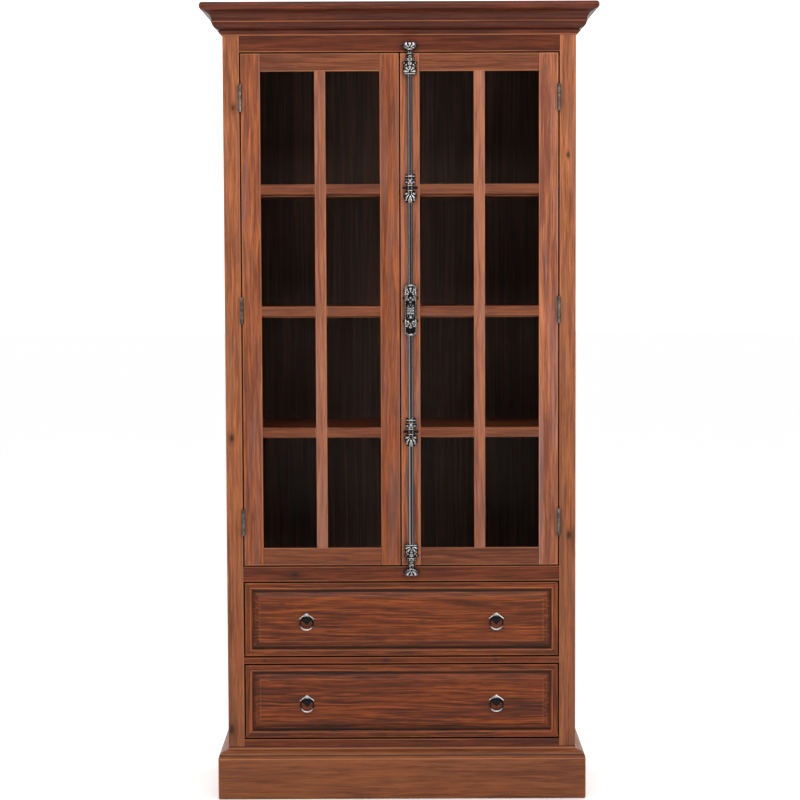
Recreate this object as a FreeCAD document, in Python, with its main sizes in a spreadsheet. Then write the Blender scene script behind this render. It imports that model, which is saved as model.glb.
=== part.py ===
import FreeCAD, Part
import math
import os
import Sketcher
from FreeCAD import Placement, Rotation, Vector

# China cabinet: a face-framed case with two glazed doors over two drawers.
# Millimetres. X to the right, Y to the back, Z up; origin on the floor at the centre of the plan.

doc = FreeCAD.newDocument("ChinaCabinet")
sheet = doc.addObject("Spreadsheet::Sheet", "Sizes")

DRIVING_SIZES = {
    "overall_height": 2100,
    "overall_depth": 450,
    "body_width": 924,
    # case boards
    "side_thickness": 20,
    "frame_thickness": 22,
    "face_stile_width": 43,
    "back_thickness": 8,
    "back_inset": 2,
    "back_foot": 40,
    "deck_thickness": 20,
    "bottom_thickness": 18,
    "ceiling_height": 1995,
    "ceiling_thickness": 18,
    "base_rail_foot": 60,
    "base_rail_top": 156.5,
    "drawer_opening": 204.25,
    "divider_height": 16,
    "middle_rail_height": 39,
    "door_opening": 1354,
    "top_board_thickness": 21,
    "top_board_round": 9.8,
    "edge_round": 1.2,
    # crown moulding, measured out from the body face and down from the top board
    "crown_projection": 56,
    "crown_height": 62.5,
    "crown_top_reach": 44,
    "crown_fillet_height": 2,
    "crown_cove_reach": 25.5,
    "crown_cove_height": 24,
    "crown_cove_radius": 27,
    "crown_bead_reach": 27.5,
    "crown_bead_height": 3,
    "crown_ovolo_top_reach": 25.5,
    "crown_ovolo_reach": 10.5,
    "crown_ovolo_height": 18,
    "crown_ovolo_radius": 19.5,
    "crown_quirk_reach": 7,
    "crown_quirk_height": 3,
    "crown_strip_reach": 9.5,
    "crown_strip_height": 4,
    "crown_toe_reach": 2,
    # plinth moulding, measured out from the body face
    "plinth_height": 138,
    "plinth_reach": 26,
    "plinth_board_height": 108,
    "plinth_toe_round": 6,
    "plinth_ogee_reach": 8,
    "plinth_ogee_height": 9,
    "plinth_ovolo_radius": 21.5,
    "plinth_cove_radius": 9,
    # doors
    "door_gap": 4,
    "door_stile_width": 50,
    "door_rail_height": 46,
    "door_lip": 12,
    "rebate_width": 10,
    "glass_thickness": 4,
    "glass_gap": 0.5,
    "muntin_width": 29.5,
    "muntin_height": 26,
    "stop_half_width": 45,
    "stop_drop": 37,
    "stop_depth": 17,
    "stop_clearance": 0.6,
    # shelves
    "shelf_thickness": 25,
    "shelf_setback": 53,
    "shelf_drop": 5.5,
    "shelf_side_gap": 1,
    "shelf_pin_radius": 3,
    "shelf_pin_length": 12,
    "shelf_pin_inset": 45,
    # butt hinges
    "hinge_length": 70,
    "hinge_low": 739,
    "hinge_middle": 1299.5,
    "hinge_high": 1854.5,
    "knuckle_radius": 4.75,
    "knuckle_clearance": 0.2,
    "knuckle_gap": 0.4,
    "hinge_pin_radius": 2,
    "hinge_pin_clearance": 0.05,
    "leaf_thickness": 1.3,
    "leaf_start": 5.5,
    "leaf_depth": 22.5,
    # drawers
    "drawer_gap": 4.5,
    "drawer_side_gap": 4,
    "drawer_front_thickness": 20,
    "drawer_ground_thickness": 12,
    "drawer_box_half_width": 415,
    "drawer_board": 12,
    "drawer_depth": 340,
    "drawer_side_height": 160,
    "drawer_bottom_thickness": 6,
    "drawer_bottom_rise": 8,
    "runner_rise": 7,
    "runner_thickness": 16,
    "runner_inner": 385,
    "runner_clearance": 0.5,
    "strip_width": 19.5,
    "strip_flat": 14,
    "strip_lip": 3,
    "strip_ovolo_radius": 6.5,
    "strip_edge_round": 1.5,
    "field_margin": 26,
    "field_rise": 6.5,
    "field_bevel_width": 12.5,
    "field_bevel_drop": 6,
    # ring pulls
    "pull_offset": 252,
    "plate_side": 21.2,
    "plate_thickness": 2.5,
    "plate_chamfer": 1,
    "boss_radius": 6.5,
    "boss_height": 2,
    "eye_above_plate": 7,
    "eye_reach": 7.5,
    "eye_thickness": 4,
    "eye_radius": 4.6,
    "eye_hole_radius": 2.5,
    "ring_radius": 17,
    "ring_wire_radius": 2,
    # cremone bolt
    "bolt_rod_radius": 7,
    "bolt_rod_reach": 9.5,
    "bolt_running_clearance": 0.05,
    "bolt_pivot_height": 1300,
    "case_width": 34,
    "case_length": 134,
    "case_depth": 21,
    "case_side_wall": 2,
    "case_end_wall": 4,
    "case_front_wall": 4,
    "case_ear_width": 42,
    "case_ear_height": 13,
    "case_ear_offset": 31,
    "case_ear_depth": 14,
    "guide_width": 36,
    "guide_depth": 19,
    "top_guide_foot": 1914,
    "top_guide_length": 56,
    "upper_guide_foot": 1582,
    "upper_guide_length": 71,
    "lower_guide_foot": 940,
    "lower_guide_length": 75,
    "bottom_guide_foot": 624,
    "bottom_guide_length": 56,
    "top_keeper_foot": 1977,
    "bottom_keeper_foot": 594,
    "keeper_height": 23,
    "upper_rod_end": 1974.5,
    "lower_rod_end": 619.5,
    "spindle_radius": 4,
    "lever_half_length": 26,
    "lever_half_width": 9,
    "lever_tip_half_width": 1.4,
    "lever_root": 1,
    "lever_thickness": 6.5,
    "lever_clearance": 0.5,
    "pinion_back": 5.5,
    "pinion_thickness": 8,
    "pinion_pitch_radius": 10.2,
    "tooth_addendum": 1.36,
    "tooth_dedendum": 1.7,
    "tooth_tip_half_width": 0.6,
    "tooth_root_half_width": 1.6,
    "rack_back": 14.5,
    "rack_reach": 26,
    "bridge_foot": 38,
    "bridge_height": 7,
}

for row, (alias, number) in enumerate(DRIVING_SIZES.items(), start=1):
    sheet.set(f"A{row}", alias.replace("_", " "))
    sheet.set(f"B{row}", str(number))
    sheet.setAlias(f"B{row}", alias)
doc.recompute()


class Size:
    """A length that carries its value and the sheet expression that gives it."""

    def __init__(self, value, text):
        self.value = float(value)
        self.text = text

    def __add__(self, other):
        other = as_size(other)
        return Size(self.value + other.value, f"({self.text} + {other.text})")

    def __sub__(self, other):
        other = as_size(other)
        return Size(self.value - other.value, f"({self.text} - {other.text})")

    def __mul__(self, factor):
        return Size(self.value * factor, f"({self.text} * {factor})")

    def __truediv__(self, divisor):
        return Size(self.value / divisor, f"({self.text} / {divisor})")

    def __neg__(self):
        return self * -1

    __radd__ = __add__
    __rmul__ = __mul__

    def __rsub__(self, other):
        return as_size(other) - self


def as_size(thing):
    return thing if isinstance(thing, Size) else Size(thing, str(thing))


def cell(alias):
    return Size(sheet.get(alias), f"Sizes.{alias}")


def bind(thing, prop, size):
    thing.setExpression(prop, as_size(size).text)


def place(thing, x, y, z, rotation=Rotation()):
    thing.Placement = Placement(Vector(), rotation)
    for axis, size in zip("xyz", (x, y, z)):
        bind(thing, f"Placement.Base.{axis}", size)
    return thing


PINION_TEETH = 12

# ---------------------------------------------------------------- levels and lines that many pieces share
HALF_BODY = cell("body_width") / 2
HALF_OPENING = HALF_BODY - cell("face_stile_width")
INSIDE = HALF_BODY - cell("side_thickness")
BACK = cell("overall_depth") / 2
FRONT = cell("crown_projection") - BACK
FRAME_BACK = FRONT + cell("frame_thickness")
BACK_FACE = BACK - cell("back_inset") - cell("back_thickness")
UNDER_TOP = cell("overall_height") - cell("top_board_thickness")
LOWER_OPENING = cell("base_rail_top")
DIVIDER_FOOT = LOWER_OPENING + cell("drawer_opening")
UPPER_OPENING = DIVIDER_FOOT + cell("divider_height")
MIDDLE_RAIL_FOOT = UPPER_OPENING + cell("drawer_opening")
DECK_TOP = MIDDLE_RAIL_FOOT + cell("middle_rail_height")
FRIEZE_FOOT = DECK_TOP + cell("door_opening")
DOOR_FOOT = DECK_TOP + cell("door_gap")
DOOR_TOP = FRIEZE_FOOT - cell("door_gap")
DOOR_OUTER = HALF_OPENING - cell("door_gap")
DOOR_INNER = cell("door_gap") / 2
GLAZED_FOOT = DOOR_FOOT + cell("door_rail_height")
GLAZED_TOP = DOOR_TOP - cell("door_rail_height")
PANE_HEIGHT = (GLAZED_TOP - GLAZED_FOOT - 3 * cell("muntin_height")) / 4
BOLT_X = DOOR_INNER + cell("door_stile_width") / 2
BOLT_Y = FRONT - cell("bolt_rod_reach")
PIN_X = HALF_OPENING - cell("door_gap") / 2
PIN_Y = FRONT - cell("knuckle_radius") - cell("knuckle_clearance")


# ---------------------------------------------------------------- drawing helpers
def origin_feature(body, role):
    return next(feature for feature in body.Origin.OriginFeatures if feature.Role == role)


def new_body(label):
    body = doc.addObject("PartDesign::Body", label)
    body.Label = label
    return body


def new_sketch(body, role="XY_Plane", offset=0):
    sketch = body.newObject("Sketcher::SketchObject", body.Name + "_sketch")
    sketch.AttachmentSupport = [(origin_feature(body, role), "")]
    sketch.MapMode = "FlatFace"
    bind(sketch, "AttachmentOffset.Base.z", offset)
    return sketch


def arc_between(start, end, radius, side):
    """Arc from start to end; side +1 has its centre to the left of the way from start to end."""
    chord = end - start
    reach = math.sqrt(radius * radius - chord.Length * chord.Length / 4)
    left = Vector(-chord.y, chord.x, 0).normalize()
    centre = (start + end) / 2 + left * reach * side
    angles = [math.atan2(p.y - centre.y, p.x - centre.x) for p in (start, end)]
    if side < 0:
        angles.reverse()
    return Part.ArcOfCircle(Part.Circle(centre, Vector(0, 0, 1), radius), *angles)


def draw_outline(sketch, corners, arcs=None):
    """Closed outline through corners held by the sheet; arcs maps a side's number to (radius, side)."""
    arcs = arcs or {}
    points = [Vector(as_size(x).value, as_size(y).value, 0) for x, y in corners]
    count = len(points)
    ends = []
    for number in range(count):
        start = points[number]
        end = points[(number + 1) % count]
        if number in arcs:
            radius, side = arcs[number]
            sketch.addGeometry(arc_between(start, end, as_size(radius).value, side), False)
            ends.append((1, 2) if side > 0 else (2, 1))
        else:
            sketch.addGeometry(Part.LineSegment(start, end), False)
            ends.append((1, 2))
    for number in range(count):
        before = (number - 1) % count
        sketch.addConstraint(
            Sketcher.Constraint("Coincident", before, ends[before][1], number, ends[number][0])
        )
    for number, corner in enumerate(corners):
        for kind, axis, size in (("DistanceX", -2, corner[0]), ("DistanceY", -1, corner[1])):
            size = as_size(size)
            if size.text in ("0", "0.0"):
                sketch.addConstraint(
                    Sketcher.Constraint("PointOnObject", number, ends[number][0], axis)
                )
                continue
            held = sketch.addConstraint(
                Sketcher.Constraint(kind, -1, 1, number, ends[number][0], size.value)
            )
            bind(sketch, f"Constraints[{held}]", size)
    for number, (radius, _) in arcs.items():
        held = sketch.addConstraint(Sketcher.Constraint("Radius", number, as_size(radius).value))
        bind(sketch, f"Constraints[{held}]", radius)


def draw_circle(sketch, radius):
    sketch.addGeometry(Part.Circle(Vector(), Vector(0, 0, 1), as_size(radius).value), False)
    sketch.addConstraint(Sketcher.Constraint("Coincident", 0, 3, -1, 1))
    held = sketch.addConstraint(Sketcher.Constraint("Radius", 0, as_size(radius).value))
    bind(sketch, f"Constraints[{held}]", radius)


def pad(body, sketch, length, centred=False):
    feature = body.newObject("PartDesign::Pad", body.Name + "_pad")
    feature.Profile = sketch
    bind(feature, "Length", length)
    feature.Midplane = centred
    doc.recompute()
    return feature


def pocket_through(body, sketch):
    before = body.Shape.Volume
    feature = body.newObject("PartDesign::Pocket", body.Name + "_pocket")
    feature.Profile = sketch
    feature.Type = "ThroughAll"
    feature.Midplane = True
    doc.recompute()
    if body.Shape.Volume > before - 1:
        raise RuntimeError(f"{feature.Name} cuts nothing")
    return feature


def edge_names(shape, wanted):
    return [f"Edge{n}" for n, edge in enumerate(shape.Edges, start=1) if wanted(edge)]


def round_edges(body, base, wanted, radius):
    feature = body.newObject("PartDesign::Fillet", body.Name + "_round")
    feature.Base = (base, edge_names(base.Shape, wanted))
    bind(feature, "Radius", radius)
    doc.recompute()
    return feature


def on_front(edge):
    """True for an edge that lies in the piece's own front plane, y = 0."""
    return all(abs(vertex.Y) < 1e-6 for vertex in edge.Vertexes)


def rectangle(width, depth):
    return [(0, 0), (width, 0), (width, depth), (0, depth)]


def board(label, low, size, rounded=on_front):
    """A rectangular board from its low corner; rounded picks the edges eased by the edge radius."""
    body = new_body(label)
    sketch = new_sketch(body)
    draw_outline(sketch, rectangle(size[0], size[1]))
    block = pad(body, sketch, size[2])
    if rounded:
        round_edges(body, block, rounded, cell("edge_round"))
    return place(body, *low)


def board_between(label, x, y, z, rounded=on_front):
    """A board from its limits along each axis."""
    return board(label, (x[0], y[0], z[0]), (x[1] - x[0], y[1] - y[0], z[1] - z[0]), rounded)


def span(side, near, far):
    """The limits along X of something near..far from the middle, on the side -1 or +1."""
    return (as_size(near), as_size(far)) if side > 0 else (-as_size(far), -as_size(near))


def part_box(name, x, y, z):
    box = doc.addObject("Part::Box", name)
    bind(box, "Length", x[1] - x[0])
    bind(box, "Width", y[1] - y[0])
    bind(box, "Height", z[1] - z[0])
    return place(box, x[0], y[0], z[0])


def part_cylinder(name, radius, length, x, y, z, rotation=Rotation()):
    cylinder = doc.addObject("Part::Cylinder", name)
    bind(cylinder, "Radius", radius)
    bind(cylinder, "Height", length)
    return place(cylinder, x, y, z, rotation)


def fuse(name, pieces):
    joined = doc.addObject("Part::MultiFuse", name)
    joined.Shapes = pieces
    return joined


def cut(name, base, tool):
    result = doc.addObject("Part::Cut", name)
    result.Base = base
    result.Tool = tool
    return result


def group(label, pieces):
    """Several separate solids kept as one sub-part."""
    compound = doc.addObject("Part::Compound", label)
    compound.Label = label
    compound.Links = pieces
    return compound


X_TO_Y = Rotation(Vector(0, 0, 1), 90)
Z_TO_X = Rotation(Vector(0, 1, 0), 90)
Z_TO_BACK = Rotation(Vector(1, 0, 0), -90)


# ---------------------------------------------------------------- the case
def case_boards():
    behind_frame = (FRAME_BACK, BACK)
    inside = (-INSIDE, INSIDE)
    within = (FRAME_BACK, BACK_FACE)
    yield board_between("side_left", (-HALF_BODY, -INSIDE), behind_frame, (0, UNDER_TOP), None)
    yield board_between("side_right", (INSIDE, HALF_BODY), behind_frame, (0, UNDER_TOP), None)
    yield board_between(
        "back_panel",
        inside,
        (BACK_FACE, BACK - cell("back_inset")),
        (cell("back_foot"), UNDER_TOP),
        None,
    )
    ceiling = cell("ceiling_height")
    yield board_between(
        "carcass_top", inside, within, (ceiling, ceiling + cell("ceiling_thickness")), None
    )
    yield board_between(
        "carcass_deck", inside, within, (DECK_TOP - cell("deck_thickness"), DECK_TOP), None
    )
    yield board_between(
        "carcass_bottom",
        inside,
        within,
        (LOWER_OPENING - cell("bottom_thickness"), LOWER_OPENING),
        None,
    )
    stop_y = FRAME_BACK + cell("stop_clearance")
    yield board_between(
        "door_stop",
        (-cell("stop_half_width"), cell("stop_half_width")),
        (stop_y, stop_y + cell("stop_depth")),
        (ceiling - cell("stop_drop"), ceiling),
    )


def face_frame():
    face = (FRONT, FRAME_BACK)
    across = (-HALF_OPENING, HALF_OPENING)
    for side, label in ((-1, "face_stile_left"), (1, "face_stile_right")):
        yield board_between(label, span(side, HALF_OPENING, HALF_BODY), face, (0, UNDER_TOP))
    yield board_between("frieze_rail", across, face, (FRIEZE_FOOT, UNDER_TOP))
    yield board_between("middle_rail", across, face, (MIDDLE_RAIL_FOOT, DECK_TOP))
    yield board_between("drawer_divider_rail", across, face, (DIVIDER_FOOT, UPPER_OPENING))
    yield board_between("base_rail", across, face, (cell("base_rail_foot"), LOWER_OPENING))


def top_board():
    """Bullnosed on the front and both ends."""
    body = new_body("top_board")
    sketch = new_sketch(body)
    width = HALF_BODY * 2 + cell("crown_projection") * 2
    draw_outline(sketch, rectangle(width, cell("overall_depth")))
    block = pad(body, sketch, cell("top_board_thickness"))
    back = cell("overall_depth").value

    def on_rim(edge):
        level = abs(edge.Vertexes[0].Z - edge.Vertexes[1].Z) < 1e-6
        at_back = all(abs(vertex.Y - back) < 1e-6 for vertex in edge.Vertexes)
        return level and not at_back

    round_edges(body, block, on_rim, cell("top_board_round"))
    return place(body, -width / 2, -BACK, UNDER_TOP)


def mitred_run(label, corners, arcs, length, reach, spread, mitres, position, rotation=Rotation()):
    """A moulding along X from 0 to length. Its section's u runs along -Y and its v along +Z.

    spread +1 lengthens a mitred end outwards as u grows, spread -1 shortens it; mitres holds the ends
    ("start", "end") that are mitred.
    """
    body = new_body(label)
    section = new_sketch(body, "YZ_Plane")
    mirrored = {number: (radius, -side) for number, (radius, side) in arcs.items()}
    draw_outline(section, [(-as_size(u), v) for u, v in corners], mirrored)
    extra = {end: reach if spread > 0 and end in mitres else as_size(0) for end in ("start", "end")}
    run = pad(body, section, length + extra["start"] + extra["end"])
    bind(section, "AttachmentOffset.Base.z", -extra["start"])
    doc.recompute()
    assert abs(run.Shape.BoundBox.XMin + extra["start"].value) < 1e-6
    corner_x = {"start": as_size(0), "end": as_size(length)}
    for end in mitres:
        outward = -1 if end == "start" else 1
        wedge = new_sketch(body, "XY_Plane")
        tip = corner_x[end] + reach * outward * spread
        # the wedge is what lies beyond the mitre line from the corner
        third = (tip, 0) if spread > 0 else (corner_x[end], -reach)
        draw_outline(wedge, [(corner_x[end], 0), (tip, -reach), third])
        pocket_through(body, wedge)
    return place(body, *position, rotation)


def crown_section():
    down = as_size(0) - cell("crown_fillet_height")
    cove = down - cell("crown_cove_height")
    bead = cove - cell("crown_bead_height")
    ovolo = bead - cell("crown_ovolo_height")
    quirk = ovolo - cell("crown_quirk_height")
    strip = quirk - cell("crown_strip_height")
    toe = -cell("crown_height")
    corners = [
        (0, 0),
        (0, toe),
        (cell("crown_toe_reach"), toe),
        (cell("crown_strip_reach"), strip),
        (cell("crown_strip_reach"), quirk),
        (cell("crown_quirk_reach"), quirk),
        (cell("crown_quirk_reach"), ovolo),
        (cell("crown_ovolo_reach"), ovolo),
        (cell("crown_ovolo_top_reach"), bead),
        (cell("crown_bead_reach"), bead),
        (cell("crown_bead_reach"), cove),
        (cell("crown_cove_reach"), cove),
        (cell("crown_top_reach"), down),
        (cell("crown_top_reach"), 0),
    ]
    arcs = {7: (cell("crown_ovolo_radius"), 1), 11: (cell("crown_cove_radius"), -1)}
    return corners, arcs


def plinth_section():
    """A board with an eased toe and an ogee along its top."""
    toe = cell("plinth_toe_round")
    reach = cell("plinth_reach")
    height = cell("plinth_height")
    corners = [
        (0, 0),
        (reach - toe, 0),
        (reach, toe),
        (reach, cell("plinth_board_height")),
        (cell("plinth_ogee_reach"), height - cell("plinth_ogee_height")),
        (0, height),
    ]
    arcs = {
        1: (toe, 1),
        3: (cell("plinth_ovolo_radius"), 1),
        4: (cell("plinth_cove_radius"), -1),
    }
    return corners, arcs


def wrapped_moulding(front_label, returns_label, section, reach, z):
    """A moulding round the front and both sides of the body, mitred at the front corners."""
    depth = BACK - FRONT
    corners, arcs = section
    front = mitred_run(
        front_label,
        corners,
        arcs,
        HALF_BODY * 2,
        reach,
        1,
        ("start", "end"),
        (-HALF_BODY, FRONT, z),
    )
    left = mitred_run(
        returns_label + "_left_run",
        corners,
        arcs,
        depth,
        reach,
        1,
        ("end",),
        (-HALF_BODY, BACK, z),
        Rotation(Vector(0, 0, 1), -90),
    )
    right = mitred_run(
        returns_label + "_right_run",
        corners,
        arcs,
        depth,
        reach,
        1,
        ("start",),
        (HALF_BODY, FRONT, z),
        X_TO_Y,
    )
    return [front, group(returns_label, [left, right])]


# ---------------------------------------------------------------- inside the case
def muntin_foot(number):
    """Underside of the horizontal glazing bar, counted from 0 at the bottom."""
    return GLAZED_FOOT + PANE_HEIGHT * (number + 1) + cell("muntin_height") * number


def shelves():
    pins = []
    half = INSIDE - cell("shelf_side_gap")
    front = FRONT + cell("shelf_setback")
    for number, label in enumerate(("shelf_lower", "shelf_middle", "shelf_upper")):
        foot = muntin_foot(number) - cell("shelf_drop")
        limits = (foot, foot + cell("shelf_thickness"))
        yield board_between(label, (-half, half), (front, BACK_FACE), limits)
        pin_z = foot - cell("shelf_pin_radius")
        near = front + cell("shelf_pin_inset")
        far = BACK_FACE - cell("shelf_pin_inset")
        for side in (-1, 1):
            start = span(side, INSIDE - cell("shelf_pin_length"), INSIDE)[0]
            for y in (near, far):
                name = f"pin_{label}_{len(pins)}"
                radius = cell("shelf_pin_radius")
                length = cell("shelf_pin_length")
                pins.append(part_cylinder(name, radius, length, start, y, pin_z, Z_TO_X))
    yield group("shelf_pins", pins)


def drawer_runners():
    runners = []
    for name, opening in (("lower", LOWER_OPENING), ("upper", UPPER_OPENING)):
        top = opening + cell("runner_rise")
        foot = opening if name == "lower" else top - cell("runner_thickness")
        for side in (-1, 1):
            x = span(side, cell("runner_inner"), INSIDE)
            runners.append(
                part_box(f"runner_{name}_{side + 1}", x, (FRAME_BACK, BACK_FACE), (foot, top))
            )
    return group("drawer_runners", runners)


# ---------------------------------------------------------------- doors
def rebated_member(label, width, length, position, rotation=Rotation()):
    """A door stile or rail: outer edge at x = 0, glass rebate behind its inner edge, length along Z."""
    body = new_body(label)
    section = new_sketch(body)
    shoulder = width - cell("rebate_width")
    thickness = cell("frame_thickness")
    draw_outline(
        section,
        [
            (0, 0),
            (width, 0),
            (width, cell("door_lip")),
            (shoulder, cell("door_lip")),
            (shoulder, thickness),
            (0, thickness),
        ],
    )
    block = pad(body, section, length)
    along = lambda edge: on_front(edge) and edge.Length > width.value + 1e-6
    round_edges(body, block, along, cell("edge_round"))
    return place(body, *position, rotation)


def door_frame(name, side):
    """Stiles and rails; side -1 is the left door."""
    stile = cell("door_stile_width")
    rail = cell("door_rail_height")
    height = DOOR_TOP - DOOR_FOOT
    rail_x = span(side, DOOR_INNER + stile, DOOR_OUTER - stile)
    rail_length = rail_x[1] - rail_x[0]
    left_edge, right_edge = span(side, DOOR_INNER, DOOR_OUTER)
    kinds = ("hinge_stile", "meeting_stile") if side < 0 else ("meeting_stile", "hinge_stile")
    yield rebated_member(f"{name}_{kinds[0]}", stile, height, (left_edge, FRONT, DOOR_FOOT))
    yield rebated_member(
        f"{name}_{kinds[1]}",
        stile,
        height,
        (right_edge, FRONT, DOOR_TOP),
        Rotation(Vector(0, 1, 0), 180),
    )
    yield rebated_member(f"{name}_top_rail", rail, rail_length, (rail_x[0], FRONT, DOOR_TOP), Z_TO_X)
    yield rebated_member(
        f"{name}_bottom_rail",
        rail,
        rail_length,
        (rail_x[1], FRONT, DOOR_FOOT),
        Z_TO_X.inverted(),
    )


def door_glazing(name, side):
    stile = cell("door_stile_width")
    left, right = span(side, DOOR_INNER + stile, DOOR_OUTER - stile)
    front_half = (FRONT, FRONT + cell("door_lip"))
    middle = (left + right) / 2
    post = (middle - cell("muntin_width") / 2, middle + cell("muntin_width") / 2)
    bars = [board_between(f"{name}_glazing_post", post, front_half, (GLAZED_FOOT, GLAZED_TOP))]
    for number in range(3):
        limits = (muntin_foot(number), muntin_foot(number) + cell("muntin_height"))
        for place_name, x in (("left", (left, post[0])), ("right", (post[1], right))):
            bar_name = f"{name}_glazing_bar_{place_name}_{number}"
            bars.append(board_between(bar_name, x, front_half, limits))
    yield group(f"{name}_muntins", bars)

    edge = cell("rebate_width") - cell("glass_gap")
    glass_x = (left - edge, right + edge)
    glass_z = (GLAZED_FOOT - edge, GLAZED_TOP + edge)
    glass_back = FRONT + cell("door_lip") + cell("glass_thickness")
    yield board_between(f"{name}_glass", glass_x, (front_half[1], glass_back), glass_z, None)

    bead_y = (glass_back, FRAME_BACK)
    yield group(
        f"{name}_beads",
        [
            part_box(f"{name}_bead_left", (glass_x[0], left), bead_y, glass_z),
            part_box(f"{name}_bead_right", (right, glass_x[1]), bead_y, glass_z),
            part_box(f"{name}_bead_foot", (left, right), bead_y, (glass_z[0], GLAZED_FOOT)),
            part_box(f"{name}_bead_top", (left, right), bead_y, (GLAZED_TOP, glass_z[1])),
        ],
    )


def hinge_leaf(name, side, foot, knuckles, leaf_x, bore):
    """One leaf with its knuckles, from five along the hinge's length, and their bore."""
    pitch = cell("hinge_length") / 5
    plate_y = (PIN_Y + cell("leaf_start"), PIN_Y + cell("leaf_depth"))
    pieces = [part_box(name + "_plate", leaf_x, plate_y, (foot, foot + cell("hinge_length")))]
    for number in knuckles:
        low = foot + pitch * number + (cell("knuckle_gap") / 2 if number > 0 else 0)
        high = foot + pitch * (number + 1) - (cell("knuckle_gap") / 2 if number < 4 else 0)
        tab = part_box(f"{name}_tab_{number}", leaf_x, (PIN_Y, plate_y[0]), (low, high))
        barrel = part_cylinder(
            f"{name}_barrel_{number}", cell("knuckle_radius"), high - low, PIN_X * side, PIN_Y, low
        )
        pieces += [tab, barrel]
    hole = part_cylinder(name + "_bore", bore, cell("hinge_length"), PIN_X * side, PIN_Y, foot)
    return cut(name, fuse(name + "_blank", pieces), hole)


def hinges():
    """Three butt hinges a door: leaves on the case, and leaves with their pins on each door."""
    frame_leaves = []
    door_leaves = {-1: [], 1: []}
    leaf = cell("leaf_thickness")
    pin = cell("hinge_pin_radius")
    for side, name in ((-1, "left"), (1, "right")):
        frame_x = span(side, HALF_OPENING - leaf, HALF_OPENING)
        door_x = span(side, DOOR_OUTER, DOOR_OUTER + leaf)
        for level in ("low", "middle", "high"):
            foot = cell("hinge_" + level) - cell("hinge_length") / 2
            frame_leaves.append(
                hinge_leaf(
                    f"{name}_{level}_frame_leaf",
                    side,
                    foot,
                    (0, 2, 4),
                    frame_x,
                    pin + cell("hinge_pin_clearance"),
                )
            )
            door_leaves[side] += [
                hinge_leaf(f"{name}_{level}_door_leaf", side, foot, (1, 3), door_x, pin),
                part_cylinder(
                    f"{name}_{level}_hinge_pin",
                    pin,
                    cell("hinge_length"),
                    PIN_X * side,
                    PIN_Y,
                    foot,
                ),
            ]
    return [
        group("hinge_frame_leaves", frame_leaves),
        group("left_door_hinge_leaves", door_leaves[-1]),
        group("right_door_hinge_leaves", door_leaves[1]),
    ]


# ---------------------------------------------------------------- drawers
def drawer_ground(name, opening):
    """The front's ground board with its raised and bevelled field; local y = 0 is the ground's face."""
    width = (HALF_OPENING - cell("drawer_side_gap")) * 2
    height = cell("drawer_opening") - cell("drawer_gap") * 2
    margin = cell("field_margin")
    body = new_body(f"{name}_ground")
    ground = new_sketch(body, "XZ_Plane", -cell("drawer_ground_thickness"))
    draw_outline(ground, rectangle(width, height))
    pad(body, ground, cell("drawer_ground_thickness"))
    field = new_sketch(body, "XZ_Plane")
    draw_outline(
        field,
        [
            (margin, margin),
            (width - margin, margin),
            (width - margin, height - margin),
            (margin, height - margin),
        ],
    )
    raised = pad(body, field, cell("field_rise"))
    face = -cell("field_rise").value
    on_field = lambda edge: all(abs(vertex.Y - face) < 1e-6 for vertex in edge.Vertexes)
    bevel = body.newObject("PartDesign::Chamfer", body.Name + "_bevel")
    bevel.Base = (raised, edge_names(raised.Shape, on_field))
    bevel.ChamferType = "Two distances"
    bind(bevel, "Size", cell("field_bevel_width"))
    bind(bevel, "Size2", cell("field_bevel_drop"))
    doc.recompute()
    face_area = max(f.Area for f in body.Shape.Faces if abs(f.BoundBox.YMax - face) < 1e-6)
    wanted = cell("field_bevel_width").value * 2
    field_area = (width.value - 2 * margin.value - wanted) * (height.value - 2 * margin.value - wanted)
    if abs(face_area - field_area) > 1:
        bevel.FlipDirection = True
        doc.recompute()
    ground_face = FRONT + cell("drawer_front_thickness") - cell("drawer_ground_thickness")
    return place(body, -width / 2, ground_face, opening + cell("drawer_gap"))


def drawer_strips(name, opening):
    """The mitred moulding planted round the edge of the drawer's front."""
    half = HALF_OPENING - cell("drawer_side_gap")
    foot = opening + cell("drawer_gap")
    top = opening + cell("drawer_opening") - cell("drawer_gap")
    height = top - foot
    rise = cell("drawer_front_thickness") - cell("drawer_ground_thickness")
    ease = cell("strip_edge_round")
    corners = [
        (0, 0),
        (cell("strip_width"), 0),
        (cell("strip_width"), cell("strip_lip")),
        (cell("strip_flat"), rise),
        (ease, rise),
        (0, rise - ease),
    ]
    arcs = {2: (cell("strip_ovolo_radius"), 1), 4: (ease, 1)}
    ground_face = FRONT + rise
    upright = Rotation(Vector(1, 0, 0), 90)
    runs = (
        ("top", half * 2, (-half, ground_face, top), 0),
        ("right", height, (half, ground_face, top), 90),
        ("foot", half * 2, (half, ground_face, foot), 180),
        ("left", height, (-half, ground_face, foot), 270),
    )
    strips = []
    for where, length, position, turn in runs:
        rotation = Rotation(Vector(0, 1, 0), turn) * upright
        strips.append(
            mitred_run(
                f"{name}_strip_{where}",
                corners,
                arcs,
                length,
                cell("strip_width"),
                -1,
                ("start", "end"),
                position,
                rotation,
            )
        )
    return strips


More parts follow.
